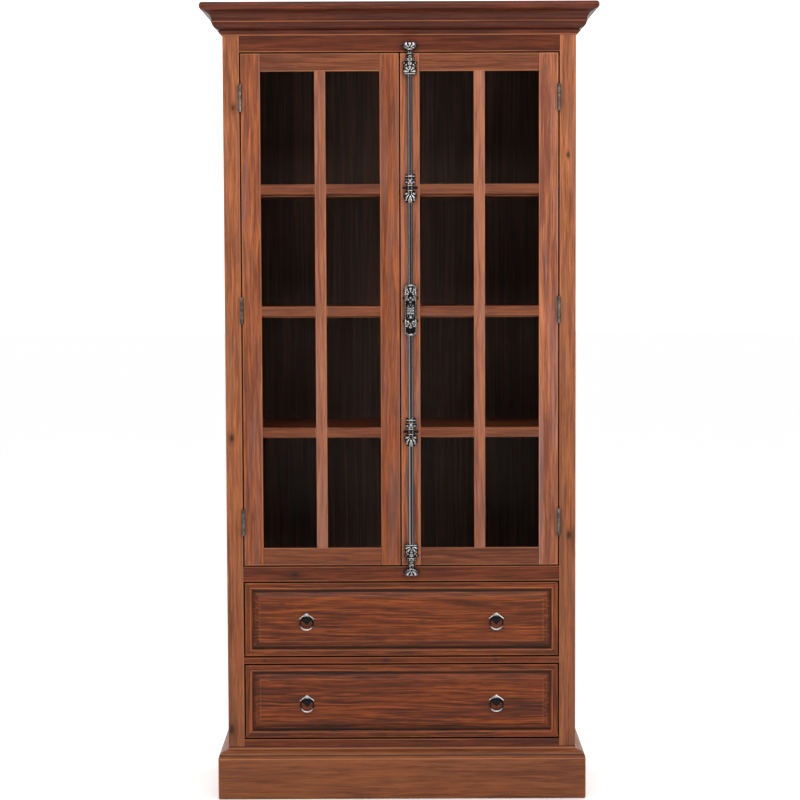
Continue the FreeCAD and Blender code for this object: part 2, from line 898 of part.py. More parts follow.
def drawer(name, opening):
    yield group(f"{name}_drawer_front", [drawer_ground(name, opening)] + drawer_strips(name, opening))
    half = cell("drawer_box_half_width")
    thick = cell("drawer_board")
    front = FRONT + cell("drawer_front_thickness")
    back = front + cell("drawer_depth")
    foot = opening + cell("runner_rise") + cell("runner_clearance")
    z = (foot, foot + cell("drawer_side_height"))
    yield group(
        f"{name}_drawer_box",
        [
            part_box(f"{name}_box_left", (-half, thick - half), (front, back), z),
            part_box(f"{name}_box_right", (half - thick, half), (front, back), z),
            part_box(f"{name}_box_back", (thick - half, half - thick), (back - thick, back), z),
        ],
    )
    bottom_z = foot + cell("drawer_bottom_rise")
    yield board_between(
        f"{name}_drawer_bottom",
        (thick - half, half - thick),
        (front, back - thick),
        (bottom_z, bottom_z + cell("drawer_bottom_thickness")),
        None,
    )


def pull_plate(name, x, z):
    """A square plate set on its corner, a boss, and an eye for the ring."""
    field = FRONT + cell("drawer_front_thickness") - cell("drawer_ground_thickness")
    surface = field - cell("field_rise")
    side = cell("plate_side")
    body = new_body(name + "_diamond")
    sketch = new_sketch(body, "XZ_Plane")
    half = side / 2
    draw_outline(sketch, [(-half, -half), (half, -half), (half, half), (-half, half)])
    plate = pad(body, sketch, cell("plate_thickness"))
    face = -cell("plate_thickness").value
    bevel = body.newObject("PartDesign::Chamfer", body.Name + "_bevel")
    on_face = lambda edge: all(abs(vertex.Y - face) < 1e-6 for vertex in edge.Vertexes)
    bevel.Base = (plate, edge_names(plate.Shape, on_face))
    bind(bevel, "Size", cell("plate_chamfer"))
    place(body, x, surface, z, Rotation(Vector(0, 1, 0), 45))
    doc.recompute()
    plate_face = surface - cell("plate_thickness")
    boss_face = plate_face - cell("boss_height")
    boss = part_cylinder(
        name + "_boss", cell("boss_radius"), cell("boss_height"), x, boss_face, z, Z_TO_BACK
    )
    eye_z = z + cell("eye_above_plate")
    eye_y = surface - cell("eye_reach")
    eye_x = x - cell("eye_thickness") / 2
    neck = part_box(
        name + "_neck",
        (eye_x, eye_x + cell("eye_thickness")),
        (eye_y, plate_face),
        (eye_z - cell("eye_radius"), eye_z + cell("eye_radius")),
    )
    eye = part_cylinder(
        name + "_eye", cell("eye_radius"), cell("eye_thickness"), eye_x, eye_y, eye_z, Z_TO_X
    )
    hole = part_cylinder(
        name + "_hole", cell("eye_hole_radius"), cell("eye_thickness"), eye_x, eye_y, eye_z, Z_TO_X
    )
    return cut(name, fuse(name + "_blank", [body, boss, neck, eye]), hole)


def pull_ring(label, x, z):
    ring = doc.addObject("Part::Torus", label)
    ring.Label = label
    bind(ring, "Radius1", cell("ring_radius"))
    bind(ring, "Radius2", cell("ring_wire_radius"))
    field = FRONT + cell("drawer_front_thickness") - cell("drawer_ground_thickness")
    eye_y = field - cell("field_rise") - cell("eye_reach")
    centre_z = z + cell("eye_above_plate") - cell("ring_radius")
    return place(ring, x, eye_y, centre_z, Rotation(Vector(1, 0, 0), 90))


def ring_pulls(name, opening):
    z = opening + cell("drawer_opening") / 2
    plates = []
    for side, where in ((-1, "left"), (1, "right")):
        x = cell("pull_offset") * side
        plates.append(pull_plate(f"{name}_{where}_pull_plate", x, z))
        yield pull_ring(f"{name}_{where}_ring", x, z)
    yield group(f"{name}_pull_plates", plates)


# ---------------------------------------------------------------- cremone bolt
def bolt_block(name, width, foot, height):
    """A block on the face of the door or frame, bored along Z for a rod."""
    x = (BOLT_X - width / 2, BOLT_X + width / 2)
    block = board_between(
        name + "_block",
        x,
        (FRONT - cell("guide_depth"), FRONT),
        (foot, foot + height),
        lambda edge: on_front(edge) and abs(edge.Vertexes[0].X - edge.Vertexes[1].X) < 1e-6,
    )
    bore = cell("bolt_rod_radius") + cell("bolt_running_clearance")
    hole = part_cylinder(name + "_bore", bore, height, BOLT_X, BOLT_Y, foot)
    return cut(name, block, hole)


def bolt_guides():
    width = cell("guide_width")
    guides = []
    for where in ("top", "upper", "lower", "bottom"):
        foot = cell(where + "_guide_foot")
        length = cell(where + "_guide_length")
        guides.append(bolt_block(f"{where}_guide", width, foot, length))
    keepers = []
    for where in ("top", "bottom"):
        foot = cell(where + "_keeper_foot")
        keepers.append(bolt_block(f"{where}_keeper", width, foot, cell("keeper_height")))
    return [group("cremone_guides", guides), group("cremone_keepers", keepers)]


def bolt_case():
    """A cast cover with its back open to the door, holding the racks and the pinion."""
    pivot = cell("bolt_pivot_height")
    half_width = cell("case_width") / 2
    half_length = cell("case_length") / 2
    inner = half_width - cell("case_side_wall")
    inner_length = half_length - cell("case_end_wall")
    face = FRONT - cell("case_depth")
    shell = part_box(
        "case_shell",
        (BOLT_X - half_width, BOLT_X + half_width),
        (face, FRONT),
        (pivot - half_length, pivot + half_length),
    )
    ears = []
    for direction in (-1, 1):
        middle = pivot + cell("case_ear_offset") * direction
        ears.append(
            part_box(
                f"case_ear_{direction + 1}",
                (BOLT_X - cell("case_ear_width") / 2, BOLT_X + cell("case_ear_width") / 2),
                (FRONT - cell("case_ear_depth"), FRONT),
                (middle - cell("case_ear_height") / 2, middle + cell("case_ear_height") / 2),
            )
        )
    cavity = part_box(
        "case_cavity",
        (BOLT_X - inner, BOLT_X + inner),
        (face + cell("case_front_wall"), FRONT),
        (pivot - inner_length, pivot + inner_length),
    )
    clearance = cell("bolt_running_clearance")
    rod_hole = part_cylinder(
        "case_rod_hole",
        cell("bolt_rod_radius") + clearance,
        cell("case_length"),
        BOLT_X,
        BOLT_Y,
        pivot - half_length,
    )
    spindle_hole = part_cylinder(
        "case_spindle_hole",
        cell("spindle_radius") + clearance,
        cell("case_front_wall"),
        BOLT_X,
        face,
        pivot,
        Z_TO_BACK,
    )
    hollow = fuse("case_hollow", [cavity, rod_hole, spindle_hole])
    case = cut("cremone_case", fuse("case_blank", [shell] + ears), hollow)
    case.Label = "cremone_case"
    return case


def rack_outline():
    """The upper rod's rack, teeth towards the pinion at its right, up to the bridge under the rod."""
    back = -cell("rack_back")
    root = -cell("pinion_pitch_radius") - cell("tooth_dedendum")
    tip = -cell("pinion_pitch_radius") + cell("tooth_addendum")
    pitch = cell("pinion_pitch_radius") * (2 * math.pi / PINION_TEETH)
    bridge = cell("bridge_foot")
    top = bridge + cell("bridge_height")
    corners = [(back, -cell("rack_reach")), (root, -cell("rack_reach"))]
    for number in range(-4, 2):
        middle = pitch * (number + 0.5)
        corners += [
            (root, middle - cell("tooth_root_half_width")),
            (tip, middle - cell("tooth_tip_half_width")),
            (tip, middle + cell("tooth_tip_half_width")),
            (root, middle + cell("tooth_root_half_width")),
        ]
    rod = cell("bolt_rod_radius")
    corners += [(root, bridge), (rod, bridge), (rod, top), (back, top)]
    return corners


def bolt_rod(label, rod_length, rotation):
    """Rod and rack in one; local origin on the rod's axis, level with the pinion."""
    body = new_body(label)
    rack = new_sketch(body, "XZ_Plane")
    draw_outline(rack, rack_outline())
    pad(body, rack, cell("pinion_thickness"), centred=True)
    start = cell("bridge_foot") + cell("bridge_height") / 2
    circle = new_sketch(body, "XY_Plane", start)
    draw_circle(circle, cell("bolt_rod_radius"))
    pad(body, circle, rod_length - start)
    return place(body, BOLT_X, BOLT_Y, cell("bolt_pivot_height"), rotation)


def bolt_pinion():
    body = new_body("cremone_pinion")
    back = cell("pinion_back")
    thick = cell("pinion_thickness")
    pitch_radius = cell("pinion_pitch_radius")
    hub = new_sketch(body, "XZ_Plane", back)
    draw_circle(hub, pitch_radius - cell("tooth_dedendum"))
    pad(body, hub, thick)
    tooth = new_sketch(body, "XZ_Plane", back)
    inner = pitch_radius - cell("tooth_dedendum") * 1.3
    outer = pitch_radius + cell("tooth_addendum")
    root = cell("tooth_root_half_width")
    tip = cell("tooth_tip_half_width")
    draw_outline(tooth, [(inner, -root), (outer, -tip), (outer, tip), (inner, root)])
    one_tooth = pad(body, tooth, thick)
    ring = body.newObject("PartDesign::PolarPattern", "pinion_teeth")
    ring.Originals = [one_tooth]
    ring.Axis = (origin_feature(body, "Y_Axis"), [""])
    ring.Angle = 360
    ring.Occurrences = PINION_TEETH
    body.Tip = ring
    doc.recompute()
    bore = new_sketch(body, "XZ_Plane", back)
    draw_circle(bore, cell("spindle_radius"))
    pocket_through(body, bore)
    return place(body, BOLT_X, FRONT, cell("bolt_pivot_height"))


def bolt_lever():
    body = new_body("cremone_lever")
    back = cell("case_depth") + cell("lever_clearance")
    spindle = new_sketch(body, "XZ_Plane", cell("pinion_back"))
    draw_circle(spindle, cell("spindle_radius"))
    pad(body, spindle, back - cell("pinion_back") + cell("lever_root"))
    grip = new_sketch(body, "XZ_Plane", back)
    half_length = cell("lever_half_length")
    half_width = cell("lever_half_width")
    tip = cell("lever_tip_half_width")
    corners = [
        (-tip, -half_length),
        (tip, -half_length),
        (half_width, 0),
        (tip, half_length),
        (-tip, half_length),
        (-half_width, 0),
    ]
    draw_outline(grip, corners)
    pad(body, grip, cell("lever_thickness"))
    return place(body, BOLT_X, FRONT, cell("bolt_pivot_height"))


def cremone_bolt():
    pivot = cell("bolt_pivot_height")
    upside_down = Rotation(Vector(0, 1, 0), 180)
    return bolt_guides() + [
        bolt_case(),
        bolt_rod("cremone_upper_rod", cell("upper_rod_end") - pivot, Rotation()),
        bolt_rod("cremone_lower_rod", pivot - cell("lower_rod_end"), upside_down),
        bolt_pinion(),
        bolt_lever(),
    ]


# ---------------------------------------------------------------- build, test and write
parts = list(case_boards()) + list(face_frame()) + [top_board()]
parts += wrapped_moulding(
    "crown_front", "crown_returns", crown_section(), cell("crown_top_reach"), UNDER_TOP
)
parts += wrapped_moulding(
    "plinth_front", "plinth_returns", plinth_section(), cell("plinth_reach"), as_size(0)
)
parts += list(shelves()) + [drawer_runners()]
for door_name, door_side in (("left_door", -1), ("right_door", 1)):
    parts += list(door_frame(door_name, door_side)) + list(door_glazing(door_name, door_side))
parts += hinges()
for drawer_name, drawer_opening in (("upper", UPPER_OPENING), ("lower", LOWER_OPENING)):
    parts += list(drawer(drawer_name, drawer_opening)) + list(ring_pulls(drawer_name, drawer_opening))
parts += cremone_bolt()
doc.recompute()

for thing in doc.Objects:
    if "Invalid" in thing.State or "Error" in thing.State:
        raise RuntimeError(f"{thing.Name} failed: {thing.State}")
for part in parts:
    if part.Shape.isNull() or not part.Shape.isValid() or not part.Shape.Solids:
        raise RuntimeError(f"{part.Label} has no sound shape")

os.makedirs("parts", exist_ok=True)
for part in parts:
    part.Shape.exportStep(f"parts/{part.Label}.step")
print(len(parts), "sub-parts written")
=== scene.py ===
import math
import random

import bmesh
import bpy
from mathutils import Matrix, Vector


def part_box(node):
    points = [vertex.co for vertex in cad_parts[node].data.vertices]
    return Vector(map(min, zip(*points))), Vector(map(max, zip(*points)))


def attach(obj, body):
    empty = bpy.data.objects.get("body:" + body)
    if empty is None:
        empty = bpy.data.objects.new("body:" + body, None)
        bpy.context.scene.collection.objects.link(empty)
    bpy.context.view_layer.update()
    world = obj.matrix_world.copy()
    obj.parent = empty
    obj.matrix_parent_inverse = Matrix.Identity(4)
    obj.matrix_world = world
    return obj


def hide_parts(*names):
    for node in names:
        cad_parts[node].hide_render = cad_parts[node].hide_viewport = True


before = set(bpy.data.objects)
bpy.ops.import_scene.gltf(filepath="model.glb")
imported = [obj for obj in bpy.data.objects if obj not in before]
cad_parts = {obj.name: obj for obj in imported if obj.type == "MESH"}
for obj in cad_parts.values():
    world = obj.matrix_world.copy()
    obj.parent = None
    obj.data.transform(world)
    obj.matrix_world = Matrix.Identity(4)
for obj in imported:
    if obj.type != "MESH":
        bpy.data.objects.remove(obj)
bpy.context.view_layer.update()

mm = 0.001
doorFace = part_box("right_door_meeting_stile")[0].y
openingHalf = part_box("face_stile_right")[0].x
rodAxis = Vector((0.0, 0.0, 0.0))
rodAxis.x = sum(corner.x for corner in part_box("cremone_lever")) / 2
rodAxis.y = sum(corner.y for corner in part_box("cremone_upper_rod")) / 2
print("frame loaded:", len(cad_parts), "nodes")


# camera, floor and lights

studio = {
    "cameraHeight": 1.488,
    "cameraDistance": 6.0,  # in front of the doors' faces
    "cameraPitch": 4.057,  # degrees below level
    "cameraRoll": 0.22,
    "lens": 102.6,
    "floorSize": 60.0,
    "floorColour": (250, 250, 250),
    "floorGlow": 0.25,
    "roomBright": 1.75,
    "roomDark": 0.12,  # the unlit end of the room, behind the camera
}
softboxes = [  # place, what it faces, width, height, watts
    ((-2.3, -3.1, 2.4), (0.0, -0.2, 1.5), 1.1, 2.2, 25.0),
    ((2.5, -2.9, 2.4), (0.0, -0.2, 1.5), 1.3, 2.2, 41.0),
    ((0.0, -2.6, 3.7), (0.0, -0.1, 1.0), 2.8, 1.2, 64.0),
]


def linear(colour, alpha=1.0):
    # 0 to 255 values of a picture, as the shader's own light values
    parts = [c / 255 for c in colour]
    return tuple(c / 12.92 if c <= 0.04045 else ((c + 0.055) / 1.055) ** 2.4 for c in parts) + (alpha,)


def placeCamera():
    data = bpy.data.cameras.new("camera")
    data.sensor_width = 36.0
    data.lens = studio["lens"]
    camera = bpy.data.objects.new("camera", data)
    camera.location = (0.0, doorFace - studio["cameraDistance"], studio["cameraHeight"])
    pitch = math.radians(90.0 - studio["cameraPitch"])
    camera.rotation_euler = (pitch, math.radians(studio["cameraRoll"]), 0.0)
    bpy.context.scene.collection.objects.link(camera)
    bpy.context.scene.camera = camera


def placeLights():
    for number, (place, aim, width, height, watts) in enumerate(softboxes):
        data = bpy.data.lights.new(f"softbox{number}", "AREA")
        data.shape = "RECTANGLE"
        data.size = width
        data.size_y = height
        data.energy = watts
        lamp = bpy.data.objects.new(f"softbox{number}", data)
        lamp.location = place
        lamp.rotation_euler = (Vector(aim) - Vector(place)).to_track_quat("-Z", "Y").to_euler()
        bpy.context.scene.collection.objects.link(lamp)


# shader sums: a Wire is one output socket, and sums on it add their own nodes


class Wire:
    def __init__(self, shader, socket):
        self.shader = shader
        self.socket = socket

    def math(self, operation, *values):
        return self.shader.node("ShaderNodeMath", {"operation": operation}, values)

    def __add__(self, other):
        return self.math("ADD", self, other)

    def __radd__(self, other):
        return self.math("ADD", other, self)

    def __sub__(self, other):
        return self.math("SUBTRACT", self, other)

    def __rsub__(self, other):
        return self.math("SUBTRACT", other, self)

    def __mul__(self, other):
        return self.math("MULTIPLY", self, other)

    def __rmul__(self, other):
        return self.math("MULTIPLY", other, self)

    def __truediv__(self, other):
        return self.math("DIVIDE", self, other)

    def __pow__(self, other):
        return self.math("POWER", self, other)

    def __abs__(self):
        return self.math("ABSOLUTE", self)

    def least(self, other):
        return self.math("MINIMUM", self, other)

    def most(self, other):
        return self.math("MAXIMUM", self, other)

    def rise(self, low, high):  # 0 below low, 1 above high, smooth between; falls if low is above high
        if low > high:
            return 1 - self.rise(high, low)
        smooth = {"interpolation_type": "SMOOTHSTEP"}
        return self.shader.node("ShaderNodeMapRange", smooth, (self, low, high, 0.0, 1.0))


class Shader:
    def __init__(self, name):
        self.material = bpy.data.materials.new(name)
        self.material.use_nodes = True
        self.tree = self.material.node_tree
        self.tree.nodes.clear()

    def node(self, kind, settings=None, inputs=(), out=0):
        made = self.tree.nodes.new(kind)
        for key, value in (settings or {}).items():
            setattr(made, key, value)
        pairs = inputs.items() if isinstance(inputs, dict) else enumerate(inputs)
        for key, value in pairs:
            if isinstance(value, Wire):
                self.tree.links.new(value.socket, made.inputs[key])
            else:
                made.inputs[key].default_value = value
        return Wire(self, made.outputs[out] if made.outputs else None)

    def place(self):  # the three object coordinates
        point = self.node("ShaderNodeTexCoord", out="Object")
        return [self.node("ShaderNodeSeparateXYZ", None, (point,), axis) for axis in range(3)]

    def vector(self, x, y, z):
        return self.node("ShaderNodeCombineXYZ", None, (x, y, z))

    def noise(self, point, scale=1.0, detail=2.0, rough=0.5):
        return self.node(
            "ShaderNodeTexNoise",
            None,
            {"Vector": point, "Scale": scale, "Detail": detail, "Roughness": rough},
            "Fac",
        )

    def blend(self, share, first, second):  # colours
        mixed = {0: share, 6: first, 7: second}
        return self.node("ShaderNodeMix", {"data_type": "RGBA"}, mixed, 2)

    def multiply(self, share, first, factor):
        mixed = {0: share, 6: first, 7: tuple(factor) + (1.0,)}
        return self.node("ShaderNodeMix", {"data_type": "RGBA", "blend_type": "MULTIPLY"}, mixed, 2)

    def bump(self, height, strength, distance):
        values = {"Strength": strength, "Distance": distance, "Height": height}
        return self.node("ShaderNodeBump", None, values)

    def finish(self, surface):
        self.node("ShaderNodeOutputMaterial", None, {"Surface": surface})
        return self.material

    def principled(self, **sockets):
        named = {key.replace("_", " "): value for key, value in sockets.items()}
        return self.node("ShaderNodeBsdfPrincipled", None, named)


# wood

# four tones, the shares of each kind of figure, ring width in mm, roughness, and how short the streaks are
# the stile looks are lighter and the rail, crown and drawer looks darker, partly as painted light on the
# stiles from the side lamps and painted shade on the boards between them
woodLooks = {
    "doorStile": {
        "light": (177, 99, 56), "middle": (144, 79, 46), "dark": (75, 36, 26), "grey": (124, 87, 79),
        "greyShare": 0.85, "ringShare": 0.25, "dashShare": 0.45, "ring": 6.5, "gloss": 0.40,
    },
    # the right door's stiles: the same stain painted paler and greyer, as painted light from the stronger
    # lamp on the right
    "doorStileRight": {
        "light": (187, 109, 66), "middle": (152, 87, 55), "dark": (80, 40, 32), "grey": (131, 96, 92),
        "greyShare": 0.85, "ringShare": 0.25, "dashShare": 0.45, "ring": 6.5, "gloss": 0.40,
    },
    "muntin": {
        "light": (171, 109, 79), "middle": (149, 89, 64), "dark": (86, 48, 37), "grey": (132, 97, 88),
        "greyShare": 0.45, "ringShare": 0.18, "dashShare": 0.30, "ring": 6.0, "gloss": 0.40,
    },
    "doorRail": {
        "light": (131, 71, 40), "middle": (108, 56, 32), "dark": (57, 26, 18), "grey": (92, 58, 46),
        "greyShare": 0.30, "ringShare": 0.30, "dashShare": 0.50, "ring": 7.0, "gloss": 0.40,
    },
    "faceStile": {
        "light": (180, 107, 64), "middle": (152, 88, 53), "dark": (80, 42, 28), "grey": (129, 89, 71),
        "greyShare": 0.50, "ringShare": 0.26, "dashShare": 0.40, "ring": 8.0, "gloss": 0.42,
    },
    "side": {
        "light": (176, 104, 62), "middle": (152, 88, 53), "dark": (84, 44, 29), "grey": (129, 89, 71),
        "greyShare": 0.45, "ringShare": 0.62, "dashShare": 0.35, "ring": 10.0, "gloss": 0.42,
        "stretch": 0.42,
    },
    "rail": {
        "light": (125, 56, 23), "middle": (104, 46, 17), "dark": (51, 19, 8), "grey": (83, 42, 23),
        "greyShare": 0.30, "ringShare": 0.35, "dashShare": 0.50, "ring": 8.0, "gloss": 0.40,
    },
    "crown": {
        "light": (108, 48, 23), "middle": (87, 36, 17), "dark": (46, 17, 6), "grey": (71, 33, 20),
        "greyShare": 0.30, "ringShare": 0.35, "dashShare": 0.45, "ring": 7.0, "gloss": 0.36,
    },
    "drawer": {
        "light": (149, 72, 27), "middle": (113, 51, 19), "dark": (41, 16, 7), "grey": (72, 36, 22),
        "greyShare": 0.40, "ringShare": 0.75, "dashShare": 0.85, "ring": 7.5, "gloss": 0.38,
    },
    "plinth": {
        "light": (146, 84, 46), "middle": (129, 71, 40), "dark": (77, 39, 23), "grey": (109, 68, 49),
        "greyShare": 0.25, "ringShare": 0.28, "dashShare": 0.45, "ring": 9.0, "gloss": 0.42,
    },
    # the inside look is dark brown partly as painted shade for the inside of the case
    "inside": {
        "light": (88, 57, 46), "middle": (66, 42, 35), "dark": (36, 23, 19), "grey": (68, 50, 45),
        "greyShare": 0.25, "ringShare": 0.50, "dashShare": 0.30, "ring": 11.0, "gloss": 0.55,
        "stretch": 0.5,
    },
    "plain": {
        "light": (196, 160, 116), "middle": (176, 136, 92), "dark": (132, 92, 58), "grey": (168, 142, 112),
        "greyShare": 0.20, "ringShare": 0.45, "dashShare": 0.30, "ring": 6.0, "gloss": 0.55,
    },
}
glazeAndShade = (34, 17, 12)  # dark stain in joints and knot cores, also used as painted shade in quirks, grooves and gaps
wearAndHighlight = (205, 132, 92)  # where the stain is rubbed off an edge, also a painted highlight on the rounded arrises
axisNumber = {"x": 0, "y": 1, "z": 2}
gapShadeShare = {  # painted shade: how dark each look's edges are painted inside the gaps
    "doorStile": 0.72, "doorStileRight": 0.72, "doorRail": 0.72, "drawer": 0.85, "rail": 0.95,
    "crown": 0.95, "faceStile": 0.95,
}
tints = {  # per-board colour factors, for boards darker or paler than their neighbours
    "left_door_meeting_stile": (0.88, 0.83, 0.78),
    # painted light: the right door's hinge stile is made paler and bluer for the stronger light from the
    # right
    "right_door_hinge_stile": (1.04, 1.10, 1.20),
    "drawer_divider_rail": (0.93, 0.82, 0.68),
    "upper_drawer_front": (1.05, 1.04, 0.92),
    "lower_drawer_front": (0.94, 0.89, 0.77),
    "crown_front": (0.98, 0.94, 0.86),
    "frieze_rail": (1.07, 1.09, 0.94),
}
# painted shade: these looks darken towards the bottom, where the lamps above light them less
paintedLowShade = {"doorStile": (0.84, 0.80, 0.76), "faceStile": (0.74, 0.71, 0.68), "muntin": (0.90, 0.88, 0.86)}


def edgeGap(point, low, high):  # how far a coordinate is inside the nearer end of a stretch
    return (high - low) / 2 - abs(point - (high + low) / 2)


def woodFinish(
    name, low, high, grain, look, seed, knots=(), second=None, marks=None, joints=True, shade=None
):
    # grain names the axes along the grain, across the face and into the board, such as "zxy";
    # second is (grain, mask) for a node whose pieces run two ways, and shade darkens those pieces;
    # marks gives dark and light masks
    chosen = woodLooks[look]
    draw = random.Random(seed)
    s = Shader(name)
    xyz = s.place()
    along, across, deep = (axisNumber[letter] for letter in grain)
    l, a, b = xyz[along], xyz[across], xyz[deep]
    width = high[across] - low[across]
    pithAcross = low[across] + width * draw.uniform(-0.3, 1.3)
    pithDepth = draw.uniform(0.035, 0.085)
    lean = draw.choice((-1, 1)) * draw.uniform(0.010, 0.026)
    drift = draw.uniform(-0.010, 0.010)
    shift = [draw.uniform(-20, 20) for _ in range(3)]
    middle = (low[along] + high[along]) / 2
    if second:
        turnedGrain, mask = second[0], second[1](*xyz)
        other = [xyz[axisNumber[letter]] for letter in turnedGrain]
        l, a, b = (p + (q - p) * mask for p, q in zip((l, a, b), other))
        shift[1] = shift[1] + mask * 3.7

    def streak(lengthScale, crossScale, number, detail=2.0, rough=0.55):
        point = s.vector(
            l * (lengthScale * chosen.get("stretch", 1.0)) + (shift[0] + number * 3.1),
            bent * crossScale + shift[1],
            b * crossScale + shift[2],
        )
        return s.noise(point, 1.0, detail, rough)

    # the fibres wander a little to and fro, and every kind of figure follows them
    bent = a
    sway = streak(2.2, 7.0, 1) - 0.5
    ripple = streak(8.0, 34.0, 2) - 0.5
    bent = a + sway * 0.022 + ripple * 0.0035

    # growth rings about a pith behind the face, leaning along the board, so the face shows arches
    fromPith = bent - pithAcross - (l - middle) * drift
    depth = b - low[deep] + pithDepth + (l - middle) * lean + sway * 0.012
    radius = (fromPith * fromPith + depth * depth) ** 0.5
    knotCore = halo = None
    for knotAlong, knotAcross, size in knots:
        near = (((l - knotAlong) * 0.55) ** 2.0 + (a - knotAcross) ** 2.0) ** 0.5 / size
        radius = radius + near.rise(3.2, 0.2) * size * 1.2
        core = (near + ripple * 1.6).rise(1.2, 0.35)
        around = (near + sway * 2.0).rise(2.6, 0.9)
        knotCore = core if knotCore is None else knotCore.most(core)
        halo = around if halo is None else halo.most(around)
    count = radius / (chosen["ring"] * mm)
    whole = count.math("FLOOR", count)
    part = count - whole
    strength = s.node("ShaderNodeTexWhiteNoise", {"noise_dimensions": "1D"}, {"W": whole}, "Value")
    late = part.rise(0.42, 0.90) * part.rise(1.0, 0.93) * (strength * 0.7 + 0.3)

    fibre = streak(7.0, 165.0, 3, 4.0, 0.70)
    pores = streak(26.0, 900.0, 4, 1.0).rise(0.60, 0.72)
    broad = streak(1.3, 16.0, 5)
    greyLine = streak(3.2, 125.0, 6, 2.0, 0.6).rise(0.50, 0.59) * broad.rise(0.36, 0.56)
    clump = streak(4.0, 30.0, 8).rise(0.38, 0.56)
    dash = streak(11.0, 200.0, 7, 2.0, 0.55).rise(0.51, 0.56) * clump * (late * 0.4 + 0.6)

    light, mid, dark = (linear(chosen[tone]) for tone in ("light", "middle", "dark"))
    tone = (broad - 0.5) * 1.6 + (fibre - 0.5) * 2.8 + 0.5
    colour = s.blend(tone.rise(0.10, 0.55) * 0.55 + 0.45, dark, mid)
    colour = s.blend(tone.rise(0.42, 0.90), colour, light)
    colour = s.blend(greyLine * chosen["greyShare"], colour, linear(chosen["grey"]))
    broken = streak(9.0, 110.0, 9).rise(0.36, 0.58) * 0.7 + 0.3
    figure = (late * broken * chosen["ringShare"]).most(dash * chosen["dashShare"]).most(pores * 0.35)
    colour = s.blend(figure, colour, dark)
    if knotCore is not None:
        colour = s.blend(halo * 0.35, colour, dark)
        colour = s.blend(knotCore * 0.75, colour, linear(glazeAndShade))
    if shade:
        colour = s.multiply(mask, colour, shade)

    gaps = [edgeGap(xyz[axis], low[axis], high[axis]) for axis in range(3)]
    cross = gaps[across] + gaps[deep]
    if not joints and not second:
        cross = gaps[0] + gaps[1] + gaps[2] - gaps[0].most(gaps[1]).most(gaps[2])
    rubbedAndHighlight = (cross / mm + (ripple + fibre - 0.5) * 2.4).rise(2.6, 0.9)
    # dark lines at the butt joints; the marks add stain and painted shade in grooves and quirks
    darkJointsAndShade = gaps[along].rise(1.6 * mm, 0.5 * mm) if joints and not second else None
    if marks:
        darkMark, lightMark = marks(*xyz)
        darkJointsAndShade = darkMark if darkJointsAndShade is None else darkJointsAndShade.most(darkMark)
        rubbedAndHighlight = lightMark if second else rubbedAndHighlight.most(lightMark)
    elif second:
        rubbedAndHighlight = rubbedAndHighlight * 0.5
    rubbedAndHighlight = rubbedAndHighlight * (broad + 0.25).rise(0.30, 0.75)
    # pale edges: stain rubbed off, together with painted highlights along the rounded arrises
    if look not in ("inside", "plain"):
        colour = s.blend(rubbedAndHighlight * 0.50, colour, linear(wearAndHighlight))
    if darkJointsAndShade is not None:
        colour = s.blend(darkJointsAndShade * 0.88, colour, linear(glazeAndShade))
    # painted shade on the board edges inside the gaps round the doors and drawers
    if look in gapShadeShare and abs(low[1] - doorFace) < 12.0 * mm:
        inGap = (xyz[1] - low[1]).rise(0.6 * mm, 2.2 * mm) * gaps[0].least(gaps[2]).rise(1.5 * mm, 0.5 * mm)
        inside = abs(xyz[0]).rise(openingHalf + 6.0 * mm, openingHalf + 3.0 * mm)
        colour = s.blend(inGap * inside * gapShadeShare[look], colour, linear(glazeAndShade))
    if name in tints:
        colour = s.multiply(1.0, colour, tints[name])
    # painted shade, darker towards the bottom of the cabinet
    if look in paintedLowShade:
        colour = s.multiply(xyz[2].rise(1.40, 0.35), colour, paintedLowShade[look])

    height = fibre * 0.55 - pores * 0.8 - late * 0.2 - dash * 0.4
    sheen = chosen["gloss"] + pores * 0.22 + (broad - 0.5) * 0.10 + fibre * 0.06
    surface = s.principled(
        Base_Color=colour,
        Roughness=sheen,
        Normal=s.bump(height, 0.22, 0.4 * mm),
        Specular_IOR_Level=0.22,
        Coat_Weight=0.04,
        Coat_Roughness=0.22,
    )
    return s.finish(surface)


def dress(node, material):
    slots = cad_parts[node].data.materials
    slots.clear()
    slots.append(material)


